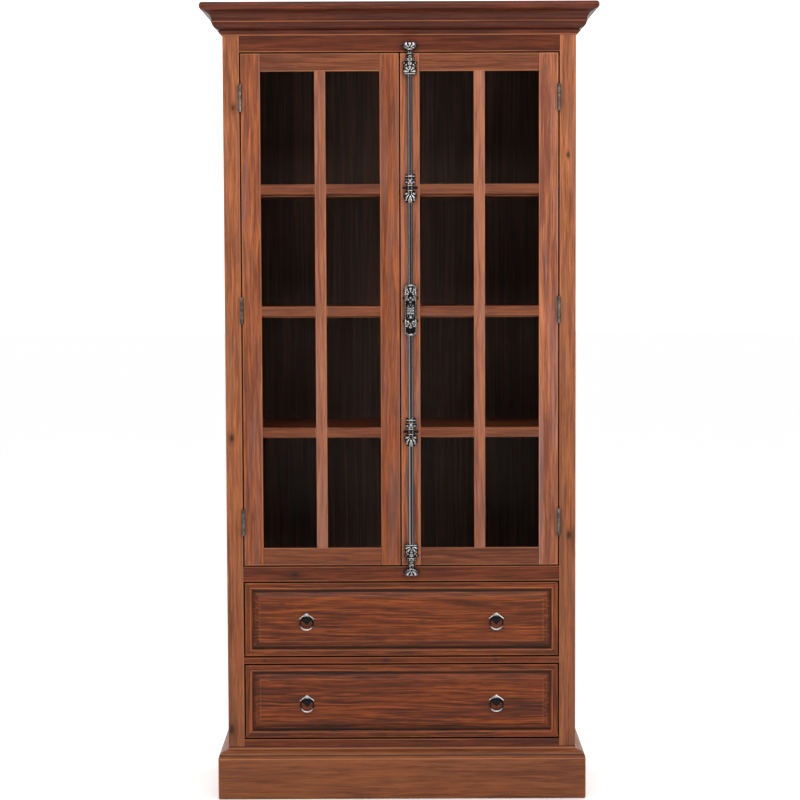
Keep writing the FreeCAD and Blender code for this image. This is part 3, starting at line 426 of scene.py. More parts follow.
def plainBoards():
    # node: grain, look, whether its ends butt against another board
    boards = {
        "side_left": ("zyx", "side", False),
        "side_right": ("zyx", "side", False),
        "face_stile_left": ("zxy", "faceStile", False),
        "face_stile_right": ("zxy", "faceStile", False),
        "frieze_rail": ("xzy", "crown", True),
        "middle_rail": ("xzy", "rail", True),
        "drawer_divider_rail": ("xzy", "rail", True),
        "base_rail": ("xzy", "rail", True),
        "top_board": ("xzy", "crown", False),
        "back_panel": ("zxy", "inside", False),
        "carcass_top": ("xyz", "inside", False),
        "carcass_deck": ("xyz", "inside", False),
        "carcass_bottom": ("xyz", "inside", False),
        "door_stop": ("xyz", "inside", False),
        "drawer_runners": ("yzx", "plain", False),
        "shelf_lower": ("xyz", "rail", False),
        "shelf_middle": ("xyz", "rail", False),
        "shelf_upper": ("xyz", "rail", False),
    }
    for side in ("left", "right"):
        stile = "doorStile" if side == "left" else "doorStileRight"
        boards[f"{side}_door_hinge_stile"] = ("zxy", stile, False)
        boards[f"{side}_door_meeting_stile"] = ("zxy", stile, False)
        boards[f"{side}_door_top_rail"] = ("xzy", "doorRail", True)
        boards[f"{side}_door_bottom_rail"] = ("xzy", "doorRail", True)
        boards[f"{side}_door_beads"] = ("zxy", "inside", False)
    for level in ("upper", "lower"):
        boards[f"{level}_drawer_bottom"] = ("xyz", "plain", False)
    knots = {  # height and place across the board, as shares, and radius in mm
        "face_stile_left": [(0.880, 0.60, 4.5), (0.463, 0.35, 7.0), (0.088, 0.20, 9.0)],
        "face_stile_right": [(0.820, 0.50, 4.5), (0.338, 0.60, 6.0)],
        "drawer_divider_rail": [(0.065, 0.45, 3.0), (0.45, 0.50, 4.2), (0.80, 0.60, 2.5)],
        "middle_rail": [(0.165, 0.45, 7.0)],
    }
    for seed, (node, (grain, look, joints)) in enumerate(sorted(boards.items())):
        low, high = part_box(node)
        along, across = axisNumber[grain[0]], axisNumber[grain[1]]
        found = [
            (
                low[along] + (high[along] - low[along]) * up,
                low[across] + (high[across] - low[across]) * over,
                size * mm,
            )
            for up, over, size in knots.get(node, ())
        ]
        dress(node, woodFinish(node, low, high, grain, look, 11 + seed, found, joints=joints))


placeCamera()
placeLights()
plainBoards()
print("boards finished")


def muntinFinish(side):
    node = f"{side}_door_muntins"
    low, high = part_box(node)
    postHalf = 14.75 * mm
    middle = (low.x + high.x) / 2

    def barMask(x, y, z):
        return (abs(x - middle)).rise(postHalf - 0.1 * mm, postHalf + 0.1 * mm)

    def marks(x, y, z):
        edge = abs(abs(x - middle) - postHalf)
        # a dark line where the bars meet the posts, and a pale line along the posts' edges, partly a
        # painted highlight on their rounded arrises
        return edge.rise(0.9 * mm, 0.3 * mm), edge.rise(3.0 * mm, 1.2 * mm) * 0.6

    turned = ("xzy", barMask)
    # the bars are painted darker than the posts, partly painted shade like the rails
    shade = (0.58, 0.47, 0.37)
    seed = 71 + len(side)
    dress(node, woodFinish(node, low, high, "zxy", "muntin", seed, (), turned, marks, shade=shade))


def drawerFinish(level):
    node = f"{level}_drawer_front"
    low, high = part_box(node)
    strip, field, flat = 19.5 * mm, 26.0 * mm, 38.5 * mm

    def inward(x, z):
        return edgeGap(x, low.x, high.x), edgeGap(z, low.z, high.z)

    def stripMask(x, y, z):
        fromSide, fromRail = inward(x, z)
        return (fromRail - fromSide).rise(-0.1 * mm, 0.1 * mm) * fromSide.rise(strip, strip - 0.1 * mm)

    def marks(x, y, z):
        fromSide, fromRail = inward(x, z)
        inset = fromSide.least(fromRail)
        groove = inset.rise(strip - 1.6 * mm, strip) * inset.rise(field + 0.6 * mm, field - 1.6 * mm)
        # painted shade in the groove, with pooled stain, stronger along the top and bottom than at the
        # sides
        quirk = groove * ((fromSide - fromRail).rise(-1.0 * mm, 1.0 * mm) * 0.38 + 0.60)
        mitre = abs(fromSide - fromRail).rise(0.9 * mm, 0.3 * mm) * inset.rise(strip, strip - 0.5 * mm)
        # painted shade on the field's lower bevel, which faces down
        under = (z - low.z).rise(flat + 1.5 * mm, field) * groove.rise(1.0, 0.0)
        under = under * inset.rise(field, field + mm)
        # pale lines on the arris, the lip and the outer edge: wear together with painted highlights
        arris = abs(inset - flat).rise(2.0 * mm, 0.4 * mm) * 0.25
        lip = abs(inset - 14.2 * mm).rise(1.8 * mm, 0.5 * mm) * 0.6
        outer = inset.rise(2.4 * mm, 0.8 * mm) * 0.7
        return quirk.most(mitre * 0.7).most(under * 0.45), arris.most(lip).most(outer)

    seed = 91 if level == "upper" else 97
    dress(node, woodFinish(node, low, high, "xzy", "drawer", seed, (), ("zxy", stripMask), marks))


def boxFinish(level):
    node = f"{level}_drawer_box"
    low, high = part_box(node)

    def sideMask(x, y, z):
        return edgeGap(x, low.x, high.x).rise(12.1 * mm, 11.9 * mm)

    dress(node, woodFinish(node, low, high, "xzy", "plain", 101, (), ("yzx", sideMask)))


def mouldFinish(node, grain, look, seed, darkDrops, lightDrops):
    low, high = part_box(node)

    # dark lines are stain and painted shade in the quirks, light lines are wear and painted highlights on
    # the arrises
    def marks(x, y, z):
        dark = light = None
        for drop in darkDrops:
            line = abs(z - (high.z - drop * mm)).rise(2.2 * mm, 0.6 * mm)
            dark = line if dark is None else dark.most(line)
        for drop in lightDrops:
            line = abs(z - (high.z - drop * mm)).rise(1.8 * mm, 0.5 * mm)
            light = line if light is None else light.most(line)
        return dark, light

    dress(node, woodFinish(node, low, high, grain, look, seed, (), None, marks, joints=False))


# drops in mm below the top: dark lines of stain with painted shade, light lines of wear with painted
# highlights
mouldings = {
    "crown": {"dark": (1.0, 48.5), "light": (27.5, 61.0)},
    "plinth": {"dark": (0.6, 20.5), "light": (6.0, 29.5)},
}
for side in ("left", "right"):
    muntinFinish(side)
for level in ("upper", "lower"):
    drawerFinish(level)
    boxFinish(level)
for seed, (name, lines) in enumerate(mouldings.items()):
    mouldFinish(f"{name}_front", "xzy", name, 111 + seed, lines["dark"], lines["light"])
    mouldFinish(f"{name}_returns", "yzx", name, 121 + seed, lines["dark"], lines["light"])
print("muntins, drawers and mouldings finished")


# glass


def glassFinish():
    s = Shader("clearGlass")
    x, y, z = s.place()
    waves = s.noise(s.vector(x * 3.0, y, z * 2.0), 1.0, 1.0)
    pane = s.principled(
        Base_Color=linear((246, 250, 248)),
        Roughness=0.0,
        IOR=1.05,
        Transmission_Weight=1.0,
        Normal=s.bump(waves, 0.12, 2.0 * mm),
    )
    clear = s.node("ShaderNodeBsdfTransparent", None, {"Color": linear((240, 244, 242))})
    # bounced light and lamps pass straight through, which keeps the shelves free of specks
    bounced = s.node("ShaderNodeLightPath", out="Is Diffuse Ray")
    lamps = s.node("ShaderNodeLightPath", out="Is Shadow Ray")
    calm = s.node("ShaderNodeMixShader", None, (bounced, pane, clear))
    return s.finish(s.node("ShaderNodeMixShader", None, (lamps, calm, clear)))


clearGlass = glassFinish()
for side in ("left", "right"):
    dress(f"{side}_door_glass", clearGlass)


# metal


def metalFinish(name, base, bright, roughness, seed):
    s = Shader(name)
    x, y, z = s.place()
    cloud = s.noise(s.vector(x + seed, y, z), 60.0, 3.0, 0.6)
    fine = s.noise(s.vector(x, y, z + seed), 260.0, 2.0, 0.6)
    colour = s.blend((cloud * 1.4 - 0.2).rise(0.0, 1.0), linear(base), linear(bright))
    surface = s.principled(
        Base_Color=colour,
        Metallic=1.0,
        Roughness=roughness + (cloud - 0.5) * 0.16 + fine * 0.05,
        Normal=s.bump(fine, 0.15, 0.2 * mm),
    )
    return s.finish(surface)


metals = {  # dull tone, bright tone, roughness, seed
    "antiquePewter": ((62, 62, 62), (150, 148, 142), 0.30, 1),
    "hingeSteel": ((44, 43, 43), (142, 140, 135), 0.30, 3),
    "pinionBrass": ((176, 140, 74), (206, 172, 104), 0.30, 5),
}
metal = {name: metalFinish(name, *values) for name, values in metals.items()}


# painted reflections on the rod: a pale grey-green left stripe, a bluish right stripe and a dark front
# stripe
rod = {"front": (22, 18, 24), "left": (158, 166, 164), "right": (120, 127, 145), "frontHalf": 2.6}  # mm


def rodFinish():
    # polished, with painted reflections: pale stripes painted at both sides and a dark stripe painted along
    # the front for the dark room reflected there
    s = Shader("rodSteel")
    x, y, z = s.place()
    cloud = s.noise(s.vector(x, y, z * 0.2), 90.0, 3.0, 0.6)
    across = (x - rodAxis.x) / mm + (cloud - 0.5) * 0.5
    paintedSideStripes = s.blend(across.rise(-1.0, 1.0), linear(rod["left"]), linear(rod["right"]))
    paintedDarkStripe = abs(across - 0.2).rise(rod["frontHalf"] + 0.6, rod["frontHalf"] - 0.6)
    paintedDarkStripe = paintedDarkStripe * y.rise(rodAxis.y, rodAxis.y - mm)
    surface = s.principled(
        Base_Color=s.blend(paintedDarkStripe, paintedSideStripes, linear(rod["front"])),
        Metallic=1.0 - paintedDarkStripe * 0.4,
        Roughness=cloud * 0.10 + 0.10 + paintedDarkStripe * 0.25,
        Normal=s.bump(cloud, 0.10, 0.2 * mm),
    )
    return s.finish(surface)


pullPlate = {  # mm and tones, the pale ones painted highlights on the plate's upper edges and the ring's lower arc
    "half": 15.0, "edge": 4.8, "dark": (30, 30, 32), "wearAndHighlight": (252, 252, 252), "held": (214, 214, 216),
}


def plateFinish(level):
    # a dark diamond, with a painted highlight along its two upper edges
    low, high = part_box(f"{level}_pull_plates")
    half = pullPlate["half"] * mm
    s = Shader(f"{level}PullPlate")
    x, y, z = s.place()
    wear = s.noise(s.vector(x, y, z), 700.0, 2.0, 0.6)
    over = abs(abs(x) - (high.x - half))
    up = z - (high.z - half)
    edge = half - over - abs(up)
    # painted highlight: only edges above the diamond's middle turn pale
    bright = edge.rise(pullPlate["edge"] * mm, pullPlate["edge"] * 0.45 * mm) * up.rise(-1.0 * mm, 1.5 * mm)
    bright = (bright * (wear * 0.8 + 0.5)).least(1.0)
    surface = s.principled(
        Base_Color=s.blend(bright, linear(pullPlate["dark"]), linear(pullPlate["wearAndHighlight"])),
        Metallic=1.0 - bright * 0.8,
        Roughness=0.13 + wear * 0.10,
        Normal=s.bump(wear, 0.15, 0.2 * mm),
    )
    return s.finish(surface)


def ringFinish(level):
    # dark where it hangs from its eye, with a painted highlight on its lower arc
    low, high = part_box(f"{level}_left_ring")
    s = Shader(f"{level}PullRing")
    x, y, z = s.place()
    wear = s.noise(s.vector(x, y, z), 500.0, 2.0, 0.6)
    # painted highlight, pale on the ring's lower part
    held = (z + (wear - 0.5) * 6.0 * mm).rise(low.z + 14.0 * mm, low.z + 2.0 * mm)
    surface = s.principled(
        Base_Color=s.blend(held, linear(pullPlate["dark"]), linear(pullPlate["held"])),
        Metallic=1.0 - held * 0.5,
        Roughness=0.14 + wear * 0.12,
        Normal=s.bump(wear, 0.15, 0.2 * mm),
    )
    return s.finish(surface)


metalNodes = {
    "antiquePewter": ["cremone_case", "cremone_guides", "cremone_keepers", "cremone_lever"],
    "hingeSteel": ["hinge_frame_leaves", "left_door_hinge_leaves", "right_door_hinge_leaves", "shelf_pins"],
    "pinionBrass": ["cremone_pinion"],
}
for name, nodes in metalNodes.items():
    for node in nodes:
        dress(node, metal[name])
polishedRod = rodFinish()
for level in ("upper", "lower"):
    ringMetal = ringFinish(level)
    for side in ("left", "right"):
        dress(f"{level}_{side}_ring", ringMetal)
    dress(f"{level}_pull_plates", plateFinish(level))
    dress(f"cremone_{level}_rod", polishedRod)
print("glass and metal finished")


# castings of the bolt: a relief in front, a hollow for the rods behind

leverHeight = sum(corner.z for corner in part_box("cremone_lever")) / 2
rodCover = 9.0  # mm, radius of the skin over a rod
rodHollow = 8.3  # half width of the hollow behind it
rodRoom = 7.35  # from the rod's axis to the hollow's floor


def fade(value, low, high):  # 0 at low, 1 at high, smooth between
    share = min(max((value - low) / (high - low), 0.0), 1.0)
    return share * share * (3 - 2 * share)


def along(points, value):  # a height read off a line through points
    if value <= points[0][0]:
        return points[0][1]
    for (x0, y0), (x1, y1) in zip(points, points[1:]):
        if value <= x1:
            return y0 + (y1 - y0) * fade(value, x0, x1)
    return points[-1][1]


def collar(x, z, at, half, height):  # a raised ring across the casting
    away = abs(z - at) / half
    return height * math.sqrt(max(1 - away * away, 0.0))


def fan(x, z, at, up, radius, lobes, height):  # leaf lobes spreading from one point
    reach = math.hypot(x, z - at) / radius
    angle = math.atan2(x, (z - at) * up)
    if reach > 1.25 or abs(angle) > 1.75:
        return 0.0
    lobe = abs(math.cos(angle * lobes / 2))
    tip = 0.78 + 0.22 * lobe
    body = fade(reach, 0.05, 0.45) * (1 - fade(reach, tip, tip + 0.10))
    return height * body * (0.15 + 0.85 * lobe ** 0.7) * (0.75 + 0.35 * reach)


def curl(x, z, atX, atZ, radius, height):  # a scroll's end, on both sides
    away = math.hypot(abs(x) - atX, z - atZ) / radius
    if away > 1.3:
        return 0.0
    rim = math.exp(-((away - 0.82) / 0.20) ** 2)
    eye = math.exp(-(away / 0.30) ** 2)
    return height * max(rim, eye)


def stroke(x, z, start, end, half, height):  # a straight rib, on both sides
    dx, dz = end[0] - start[0], end[1] - start[1]
    px, pz = abs(x) - start[0], z - start[1]
    share = min(max((px * dx + pz * dz) / (dx * dx + dz * dz), 0.0), 1.0)
    away = math.hypot(px - dx * share, pz - dz * share) / half
    return height * math.sqrt(max(1 - away * away, 0.0))


def scales(x, z, low, high, cell, height):  # rows of overlapping scales
    if z < low or z > high:
        return 0.0
    row = math.floor((z - low) / cell)
    over = (x / cell + 0.5 * (row % 2)) % 1.0 - 0.5
    up = (z - low) / cell - row
    away = math.hypot(over, up - 1.0)
    return height * (1 - fade(away, 0.50, 0.62)) * (0.45 + 0.55 * away / 0.5)


def boss(x, z, atX, atZ, radius, height):  # a round knob, or a hole if the height is below zero
    away = math.hypot(abs(x) - atX, z - atZ) / radius
    return height * math.sqrt(max(1 - away * away, 0.0))


marksMade = {"collar": collar, "fan": fan, "curl": curl, "stroke": stroke, "scales": scales, "boss": boss}

# widths are (height, half width), depths (height, depth at the middle), in mm from the casting's foot;
# ears are (height, reach, radius); each mark names one of the shapes above and its measures
endGuide = {
    "height": 56, "body": "right_door", "ears": [(30.0, 16.8, 3.0)],
    "widths": [(0, 17.5), (2.5, 18.5), (4.5, 17), (9, 18.5), (17, 18), (23, 15), (27, 17.5), (31, 18),
               (34, 14.5), (38, 12), (42, 13.5), (47, 9.5), (53, 8.8), (56, 8.8)],
    "depths": [(0, 18.0), (20, 18.6), (34, 18.2), (56, 17.8)],
    "marks": [
        ("collar", 1.6, 1.7, 2.2), ("fan", 6.0, 1, 15.5, 9, 2.8), ("curl", 12.5, 9.0, 4.6, 1.9),
        ("curl", 10.5, 18.5, 4.2, 1.9), ("fan", 18.0, 1, 14.0, 5, 2.0), ("collar", 36.5, 1.3, 1.6),
        ("fan", 38.0, 1, 11.0, 5, 1.7), ("collar", 54.0, 1.4, 1.0), ("boss", 16.0, 29.5, 3.0, 2.0),
    ],
}
middleGuide = {
    "height": 75, "body": "right_door", "ears": [(39.5, 16.0, 4.4)],
    "widths": [(0, 6), (2, 11), (6, 14.5), (14, 17), (22, 18), (28, 15.5), (32, 11), (35, 9.5), (44, 9.5),
               (47, 12), (52, 14.5), (57, 15), (60, 12), (64, 11), (67, 14), (72, 14), (75, 12)],
    "depths": [(0, 17.4), (18, 18.8), (36, 17.8), (75, 17.9)],
    "marks": [
        ("fan", 26.0, -1, 24.0, 9, 2.8), ("curl", 12.5, 22.0, 4.6, 1.9), ("curl", 8.5, 11.0, 4.0, 1.7),
        ("collar", 33.0, 1.3, 1.4), ("collar", 46.0, 1.3, 1.4), ("fan", 47.0, 1, 13.5, 7, 2.2),
        ("collar", 62.0, 1.4, 1.3), ("collar", 70.0, 2.2, 1.8), ("curl", 10.0, 54.0, 3.6, 1.6),
    ],
}
keeper = {  # closed is where its pocket for the rod ends
    "height": 23, "body": "case", "closed": 18.5, "ears": [(12.0, 17.6, 3.4)],
    "widths": [(0, 10.5), (3, 12), (6, 15), (9, 18), (14, 20.5), (17, 17.5), (19.5, 17), (22, 11), (23, 7)],
    "depths": [(0, 17.6), (8, 18.4), (18, 18.4), (23, 12)],
    "marks": [
        ("collar", 2.2, 1.8, 1.5), ("fan", 3.0, 1, 19.5, 9, 3.0), ("curl", 13.5, 14.5, 4.4, 2.2),
        ("curl", 5.5, 18.0, 3.2, 1.8),
    ],
}
boltCase = {  # cavity is half width, depth, low end and high end
    "height": 134, "body": "right_door", "cavity": (15.0, 16.85, 4.9, 128.9),
    "ears": [(38.0, 16.2, 4.7), (98.5, 16.2, 4.8)], "earRoot": 15.3,
    "widths": [(0, 12.6), (3.9, 13.2), (4.8, 15.9), (20, 16.0), (28, 16.8), (36, 16.0), (54, 16.4),
               (82, 16.4), (90, 15.9), (109, 15.9), (114, 17.8), (121, 18.4), (126, 16.2), (129.0, 15.9),
               (129.9, 14.2), (134, 13.8)],
    "depths": [(0, 18), (20, 18.8), (34, 18.6), (48, 20.4), (86, 20.4), (100, 18.6), (114, 18.8),
               (134, 18)],
    "marks": [
        ("collar", 2.4, 2.4, 2.0), ("fan", 38.0, -1, 18.0, 9, 2.4), ("curl", 9.0, 27.0, 4.2, 2.2),
        ("stroke", (10.0, 37.0), (15.2, 45.0), 1.2, 2.0), ("stroke", (15.2, 45.0), (15.2, 88.0), 0.8, 1.3),
        ("stroke", (15.2, 88.0), (9.5, 98.0), 1.3, 2.4), ("stroke", (9.5, 98.0), (9.0, 105.0), 1.3, 2.0),
        ("fan", 93.0, 1, 8.0, 5, 1.4), ("fan", 108.0, 1, 18.0, 9, 2.4), ("curl", 10.5, 118.0, 4.2, 2.2),
        ("collar", 131.6, 2.2, 1.8),
    ],
}
castings = {
    "topKeeper": {**keeper, "foot": 1977, "up": 1, "replaces": "cremone_keepers"},
    "topGuide": {**endGuide, "foot": 1914, "up": 1, "replaces": "cremone_guides"},
    "upperGuide": {**middleGuide, "foot": 1580, "up": 1},
    "lowerGuide": {**middleGuide, "foot": 940, "up": 1},
    "bottomGuide": {**endGuide, "foot": 680, "up": -1},
    "bottomKeeper": {**keeper, "foot": 617, "up": -1},
    "boltCase": {**boltCase, "foot": 1233, "up": 1, "replaces": "cremone_case"},
}
castingGrid = {"columns": 56, "step": 0.55}  # mm between rows
leastSkin = 0.7  # mm of metal over a hollow
sunkSkin = 0.6  # mm left over it where a mark sinks in
markSink = 1.0  # marks rise from this far under the surface
rimDepth = 6.0
rimCut = 6.5  # taken off the middle's depth before it falls to the rim


def hollowDepth(x, z, made):  # how deep the back is cut, for the rods and for the pinion
    if "cavity" in made:
        half, depth, low, high = made["cavity"]
        if abs(x) < half and low < z < high:
            return depth
    if z > made.get("closed", made["height"] + 1) or abs(x) >= rodHollow:
        return 0.0
    return (doorFace - rodAxis.y) / mm + min(math.sqrt(rodHollow ** 2 - x * x), rodRoom)


def reliefHeight(marks, x, z):  # of the mark that rises or sinks most here
    relief = 0.0
    for kind, *measures in marks:
        mark = marksMade[kind](x, z, *measures)
        relief = mark if abs(mark) > abs(relief) else relief
    return relief


def frontDepth(x, z, half, made):
    middle = along(made["depths"], z)
    cover = 0.0
    if abs(x) < rodCover:
        cover = (doorFace - rodAxis.y) / mm + math.sqrt(rodCover ** 2 - x * x)
    flank = rimDepth + (middle - rimCut) * math.sqrt(max(1 - (x / (half + 0.6)) ** 2, 0.0))
    return max(min(cover, middle), flank), reliefHeight(made["marks"], x, z)


def addGlint(mesh, values):  # how much wear and brightness each point has: wear on the castings, a painted highlight on the pull backs
    mesh.attributes.new("glint", "FLOAT", "POINT").data.foreach_set("value", values)


def reliefMesh(name, widths, front, back, foot, height, up, columns, step):
    rows = max(int(height / step), 8)
    size = columns + 1
    places, fronts, hollows = [], [], []
    for row in range(rows + 1):
        z = height * row / rows
        half = along(widths, z)
        for column in range(size):
            x = half * math.sin(math.pi / 2 * (2 * column / columns - 1))
            base, relief = front(x, z, half)
            hollow = back(x, z)
            depth = max(max(base - markSink, hollow + leastSkin) + relief, hollow + sunkSkin)
            if column in (0, columns):
                depth = max(depth * 0.75, hollow + leastSkin)
            places.append((x, z))
            fronts.append(depth)
            hollows.append(hollow)
    points = [
        (rodAxis.x + x * mm, doorFace - out * mm, (foot + z * up) * mm)
        for depths in (fronts, hollows)
        for (x, z), out in zip(places, depths)
    ]
    shine = []
    for row in range(rows + 1):
        for column in range(size):
            near = [
                fronts[min(max(row + r, 0), rows) * size + min(max(column + c, 0), columns)]
                for r, c in ((-4, 0), (4, 0), (0, -4), (0, 4), (-3, -3), (3, 3), (-3, 3), (3, -3))
            ]
            crest = fronts[row * size + column] - sum(near) / len(near)
            rim = fade(min(column, columns - column), 0, columns * 0.11)
            shine.append(min(max(0.40 + crest * 0.9, 0.0), 1.0) * rim)
    shine += [0.0] * len(shine)
    faces = []
    half = size * (rows + 1)
    for row in range(rows):
        for column in range(columns):
            a = row * size + column
            faces.append((a, a + 1, a + 1 + size, a + size))
            b = a + half
            faces.append((b, b + size, b + size + 1, b + 1))
        for edge in (0, columns):
            a = row * size + edge
            faces.append((a, a + size, a + size + half, a + half))
    for column in range(columns):
        for a in (column, rows * size + column):
            faces.append((a, a + half, a + half + 1, a + 1))
    mesh = bpy.data.meshes.new(name)
    mesh.from_pydata(points, [], faces)
    addGlint(mesh, shine)
    return mesh


def turned(name, profile, place, hand, turns=28):  # profile is (x, radius) out from the place
    points, faces = [], []
    for x, radius in profile:
        for turn in range(turns):
            angle = 2 * math.pi * turn / turns
            points.append((x * hand, radius * math.cos(angle), radius * math.sin(angle)))
    rings = len(profile)
    for ring in range(rings - 1):
        for turn in range(turns):
            a = ring * turns + turn
            b = ring * turns + (turn + 1) % turns
            faces.append((a, b, b + turns, a + turns))
    faces.append(tuple(range(turns)))
    faces.append(tuple(range((rings - 1) * turns, rings * turns)))
    mesh = bpy.data.meshes.new(name)
    placed = [[start + step for start, step in zip(place, point)] for point in points]
    mesh.from_pydata(placed, [], faces)
    addGlint(mesh, [0.1 + 0.36 * (radius > 2.6 * mm) for _, radius in profile for _ in range(turns)])
    return mesh


def earProfile(reach, radius, root):  # a stem, a bead and a ball with a button, cut off at its root
    stem = [(reach - radius - 2.6, 1.9), (reach - radius - 2.2, 2.9), (reach - radius - 0.8, 2.9),
            (reach - radius - 0.2, 1.8)]
    ball = [
        (reach - radius * math.cos(angle), radius * math.sin(angle))
        for angle in (0.45, 0.8, 1.15, 1.57, 2.0, 2.4)
    ]
    button = [(reach + radius * 0.80, 1.3), (reach + radius * 1.05, 1.2), (reach + radius * 1.12, 0.5)]
    kept = [(x, r) for x, r in stem + ball + button if x > root]
    return [(x * mm, r * mm) for x, r in [(root, kept[0][1])] + kept]


def joined(name, meshes, body, material, replaced=(), smooth=True):
    whole = bmesh.new()
    for mesh in meshes:
        part = bmesh.new()
        part.from_mesh(mesh)
        bmesh.ops.recalc_face_normals(part, faces=part.faces)
        part.to_mesh(mesh)
        part.free()
        whole.from_mesh(mesh)
        bpy.data.meshes.remove(mesh)
    mesh = bpy.data.meshes.new(name)
    whole.to_mesh(mesh)
    whole.free()
    mesh.materials.append(material)
    if smooth:
        mesh.shade_smooth()
    piece = bpy.data.objects.new(name, mesh)
    bpy.context.scene.collection.objects.link(piece)
    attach(piece, body)
    for node in replaced:
        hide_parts(node)


def castingMeshes(name, made):
    meshes = [
        reliefMesh(
            name,
            made["widths"],
            lambda x, z, half: frontDepth(x, z, half, made),
            lambda x, z: hollowDepth(x, z, made),
            made["foot"],
            made["height"],
            made["up"],
            castingGrid["columns"],
            castingGrid["step"],
        )
    ]
    for up, reach, radius in made["ears"]:
        for hand in (-1, 1):
            place = (rodAxis.x, doorFace - 11.5 * mm, (made["foot"] + up * made["up"]) * mm)
            profile = earProfile(reach, radius, made.get("earRoot", 8.5))
            meshes.append(turned(f"{name}Ear", profile, place, hand))
    return meshes


def castingFinish():
    s = Shader("blackenedCasting")
    x, y, z = s.place()
    glint = s.node("ShaderNodeAttribute", {"attribute_name": "glint"}, (), "Fac")
    wear = s.noise(s.vector(x, y, z), 420.0, 3.0, 0.6)
    rub = (glint + (wear - 0.5) * 0.75).rise(0.50, 0.92)
    colour = s.blend(rub, linear((8, 8, 10)), linear((188, 187, 185)))
    surface = s.principled(
        Base_Color=colour,
        Metallic=rub * 0.75 + 0.2,
        Roughness=0.42 - rub * 0.18 + (wear - 0.5) * 0.10,
        Specular_IOR_Level=0.15,
        Normal=s.bump(wear, 0.25, 0.2 * mm),
    )
    return s.finish(surface)


blackened = castingFinish()
for name, made in castings.items():
    replaced = [made["replaces"]] if "replaces" in made else []
    joined(name, castingMeshes(name, made), made["body"], blackened, replaced)
print("bolt castings built:", len(castings))


# backs of the ring pulls: a kite behind each diamond, with a painted highlight along its two upper edges

pullBack = {"half": 20.0, "top": 16.5, "side": 1.5, "foot": -12.0, "inner": 0.78, "thick": 2.2}  # mm


def kiteMesh(name, x, wall, middle):
    half, side = pullBack["half"], pullBack["side"]
    corners = [(0.0, pullBack["top"]), (half, side), (0.0, pullBack["foot"]), (-half, side)]
    rings = [(1.0, 0.0, 1.0), (1.0, 0.3, 1.0), (pullBack["inner"], 1.0, 0.35)]  # size, lift, brightness of the painted highlight
    points, shine = [], []
    for size, lift, bright in rings:
        for over, up in corners:
            out = pullBack["thick"] * lift
            points.append((x + over * size * mm, wall - out * mm, middle + up * size * mm))
            # painted highlight: brightest along the upper edges, fading to nothing at the bottom corner
            shine.append(bright * fade(up, pullBack["foot"], side))
    faces = [(0, 1, 2, 3), (8, 9, 10, 11)]
    for ring in (0, 4):
        for corner in range(4):
            following = (corner + 1) % 4
            faces.append((ring + corner, ring + following, ring + 4 + following, ring + 4 + corner))
    mesh = bpy.data.meshes.new(name)
    mesh.from_pydata(points, [], faces)
    addGlint(mesh, shine)
    return mesh


for level in ("upper", "lower"):
    low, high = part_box(f"{level}_pull_plates")
    half = pullPlate["half"] * mm
    backs = [
        kiteMesh(f"{level}Back", hand * (high.x - half), high.y, high.z - half)
        for hand in (-1, 1)
    ]
    joined(f"{level}PullBacks", backs, f"{level}_drawer", blackened, smooth=False)
print("pull backs built")


# the bolt's lever: an oval of scales with a leaf at its head

lever = {
    "height": 50, "back": 21.6, "dome": 5.2,
    "widths": [(0, 3.5), (1.5, 6.5), (5, 9.0), (12, 10.4), (24, 10.6), (34, 10.2), (40, 8.4), (45, 5.2),
               (49, 1.8), (50, 0.8)],
    "marks": [
        ("fan", 32.0, 1, 17.0, 7, 1.4), ("scales", 13.0, 32.0, 4.2, 1.3), ("boss", 0.0, 6.5, 3.6, 1.5),
        ("stroke", (9.0, 7.0), (9.6, 34.0), 0.9, 0.9), ("boss", 0.0, 12.6, 1.8, -1.6),
    ],
}


def leverFront(x, z, half):
    rise = lever["dome"] * math.sqrt(max(1 - (x / (half + 0.4)) ** 2, 0.0)) ** 0.8
    base = lever["back"] + 0.8 + rise * fade(z, -3, 5) * (1 - fade(z, 45, 54))
    return base, reliefHeight(lever["marks"], x, z)


def leverMeshes():
    foot = leverHeight / mm - lever["height"] / 2
    plate = reliefMesh(
        "lever", lever["widths"], leverFront, lambda x, z: lever["back"], foot, lever["height"], 1, 44, 0.5
    )
    spindle = turned("spindle", [(0.0, 3.4 * mm), (5.2 * mm, 3.4 * mm)], (0.0, 0.0, 0.0), 1)
    for point in spindle.vertices:
        out, x, z = point.co
        point.co = (rodAxis.x + x, doorFace - 17.3 * mm - out, leverHeight + z)
    return [plate, spindle]


joined("leverOval", leverMeshes(), "bolt_lever", blackened, ("cremone_lever",))
print("lever built")


# screws round the back panel, set by a node tree along its outline

backScrews = {"inset": 7.0, "spacing": 118.0, "radius": 3.6, "height": 1.3, "slotWidth": 0.9}  # mm


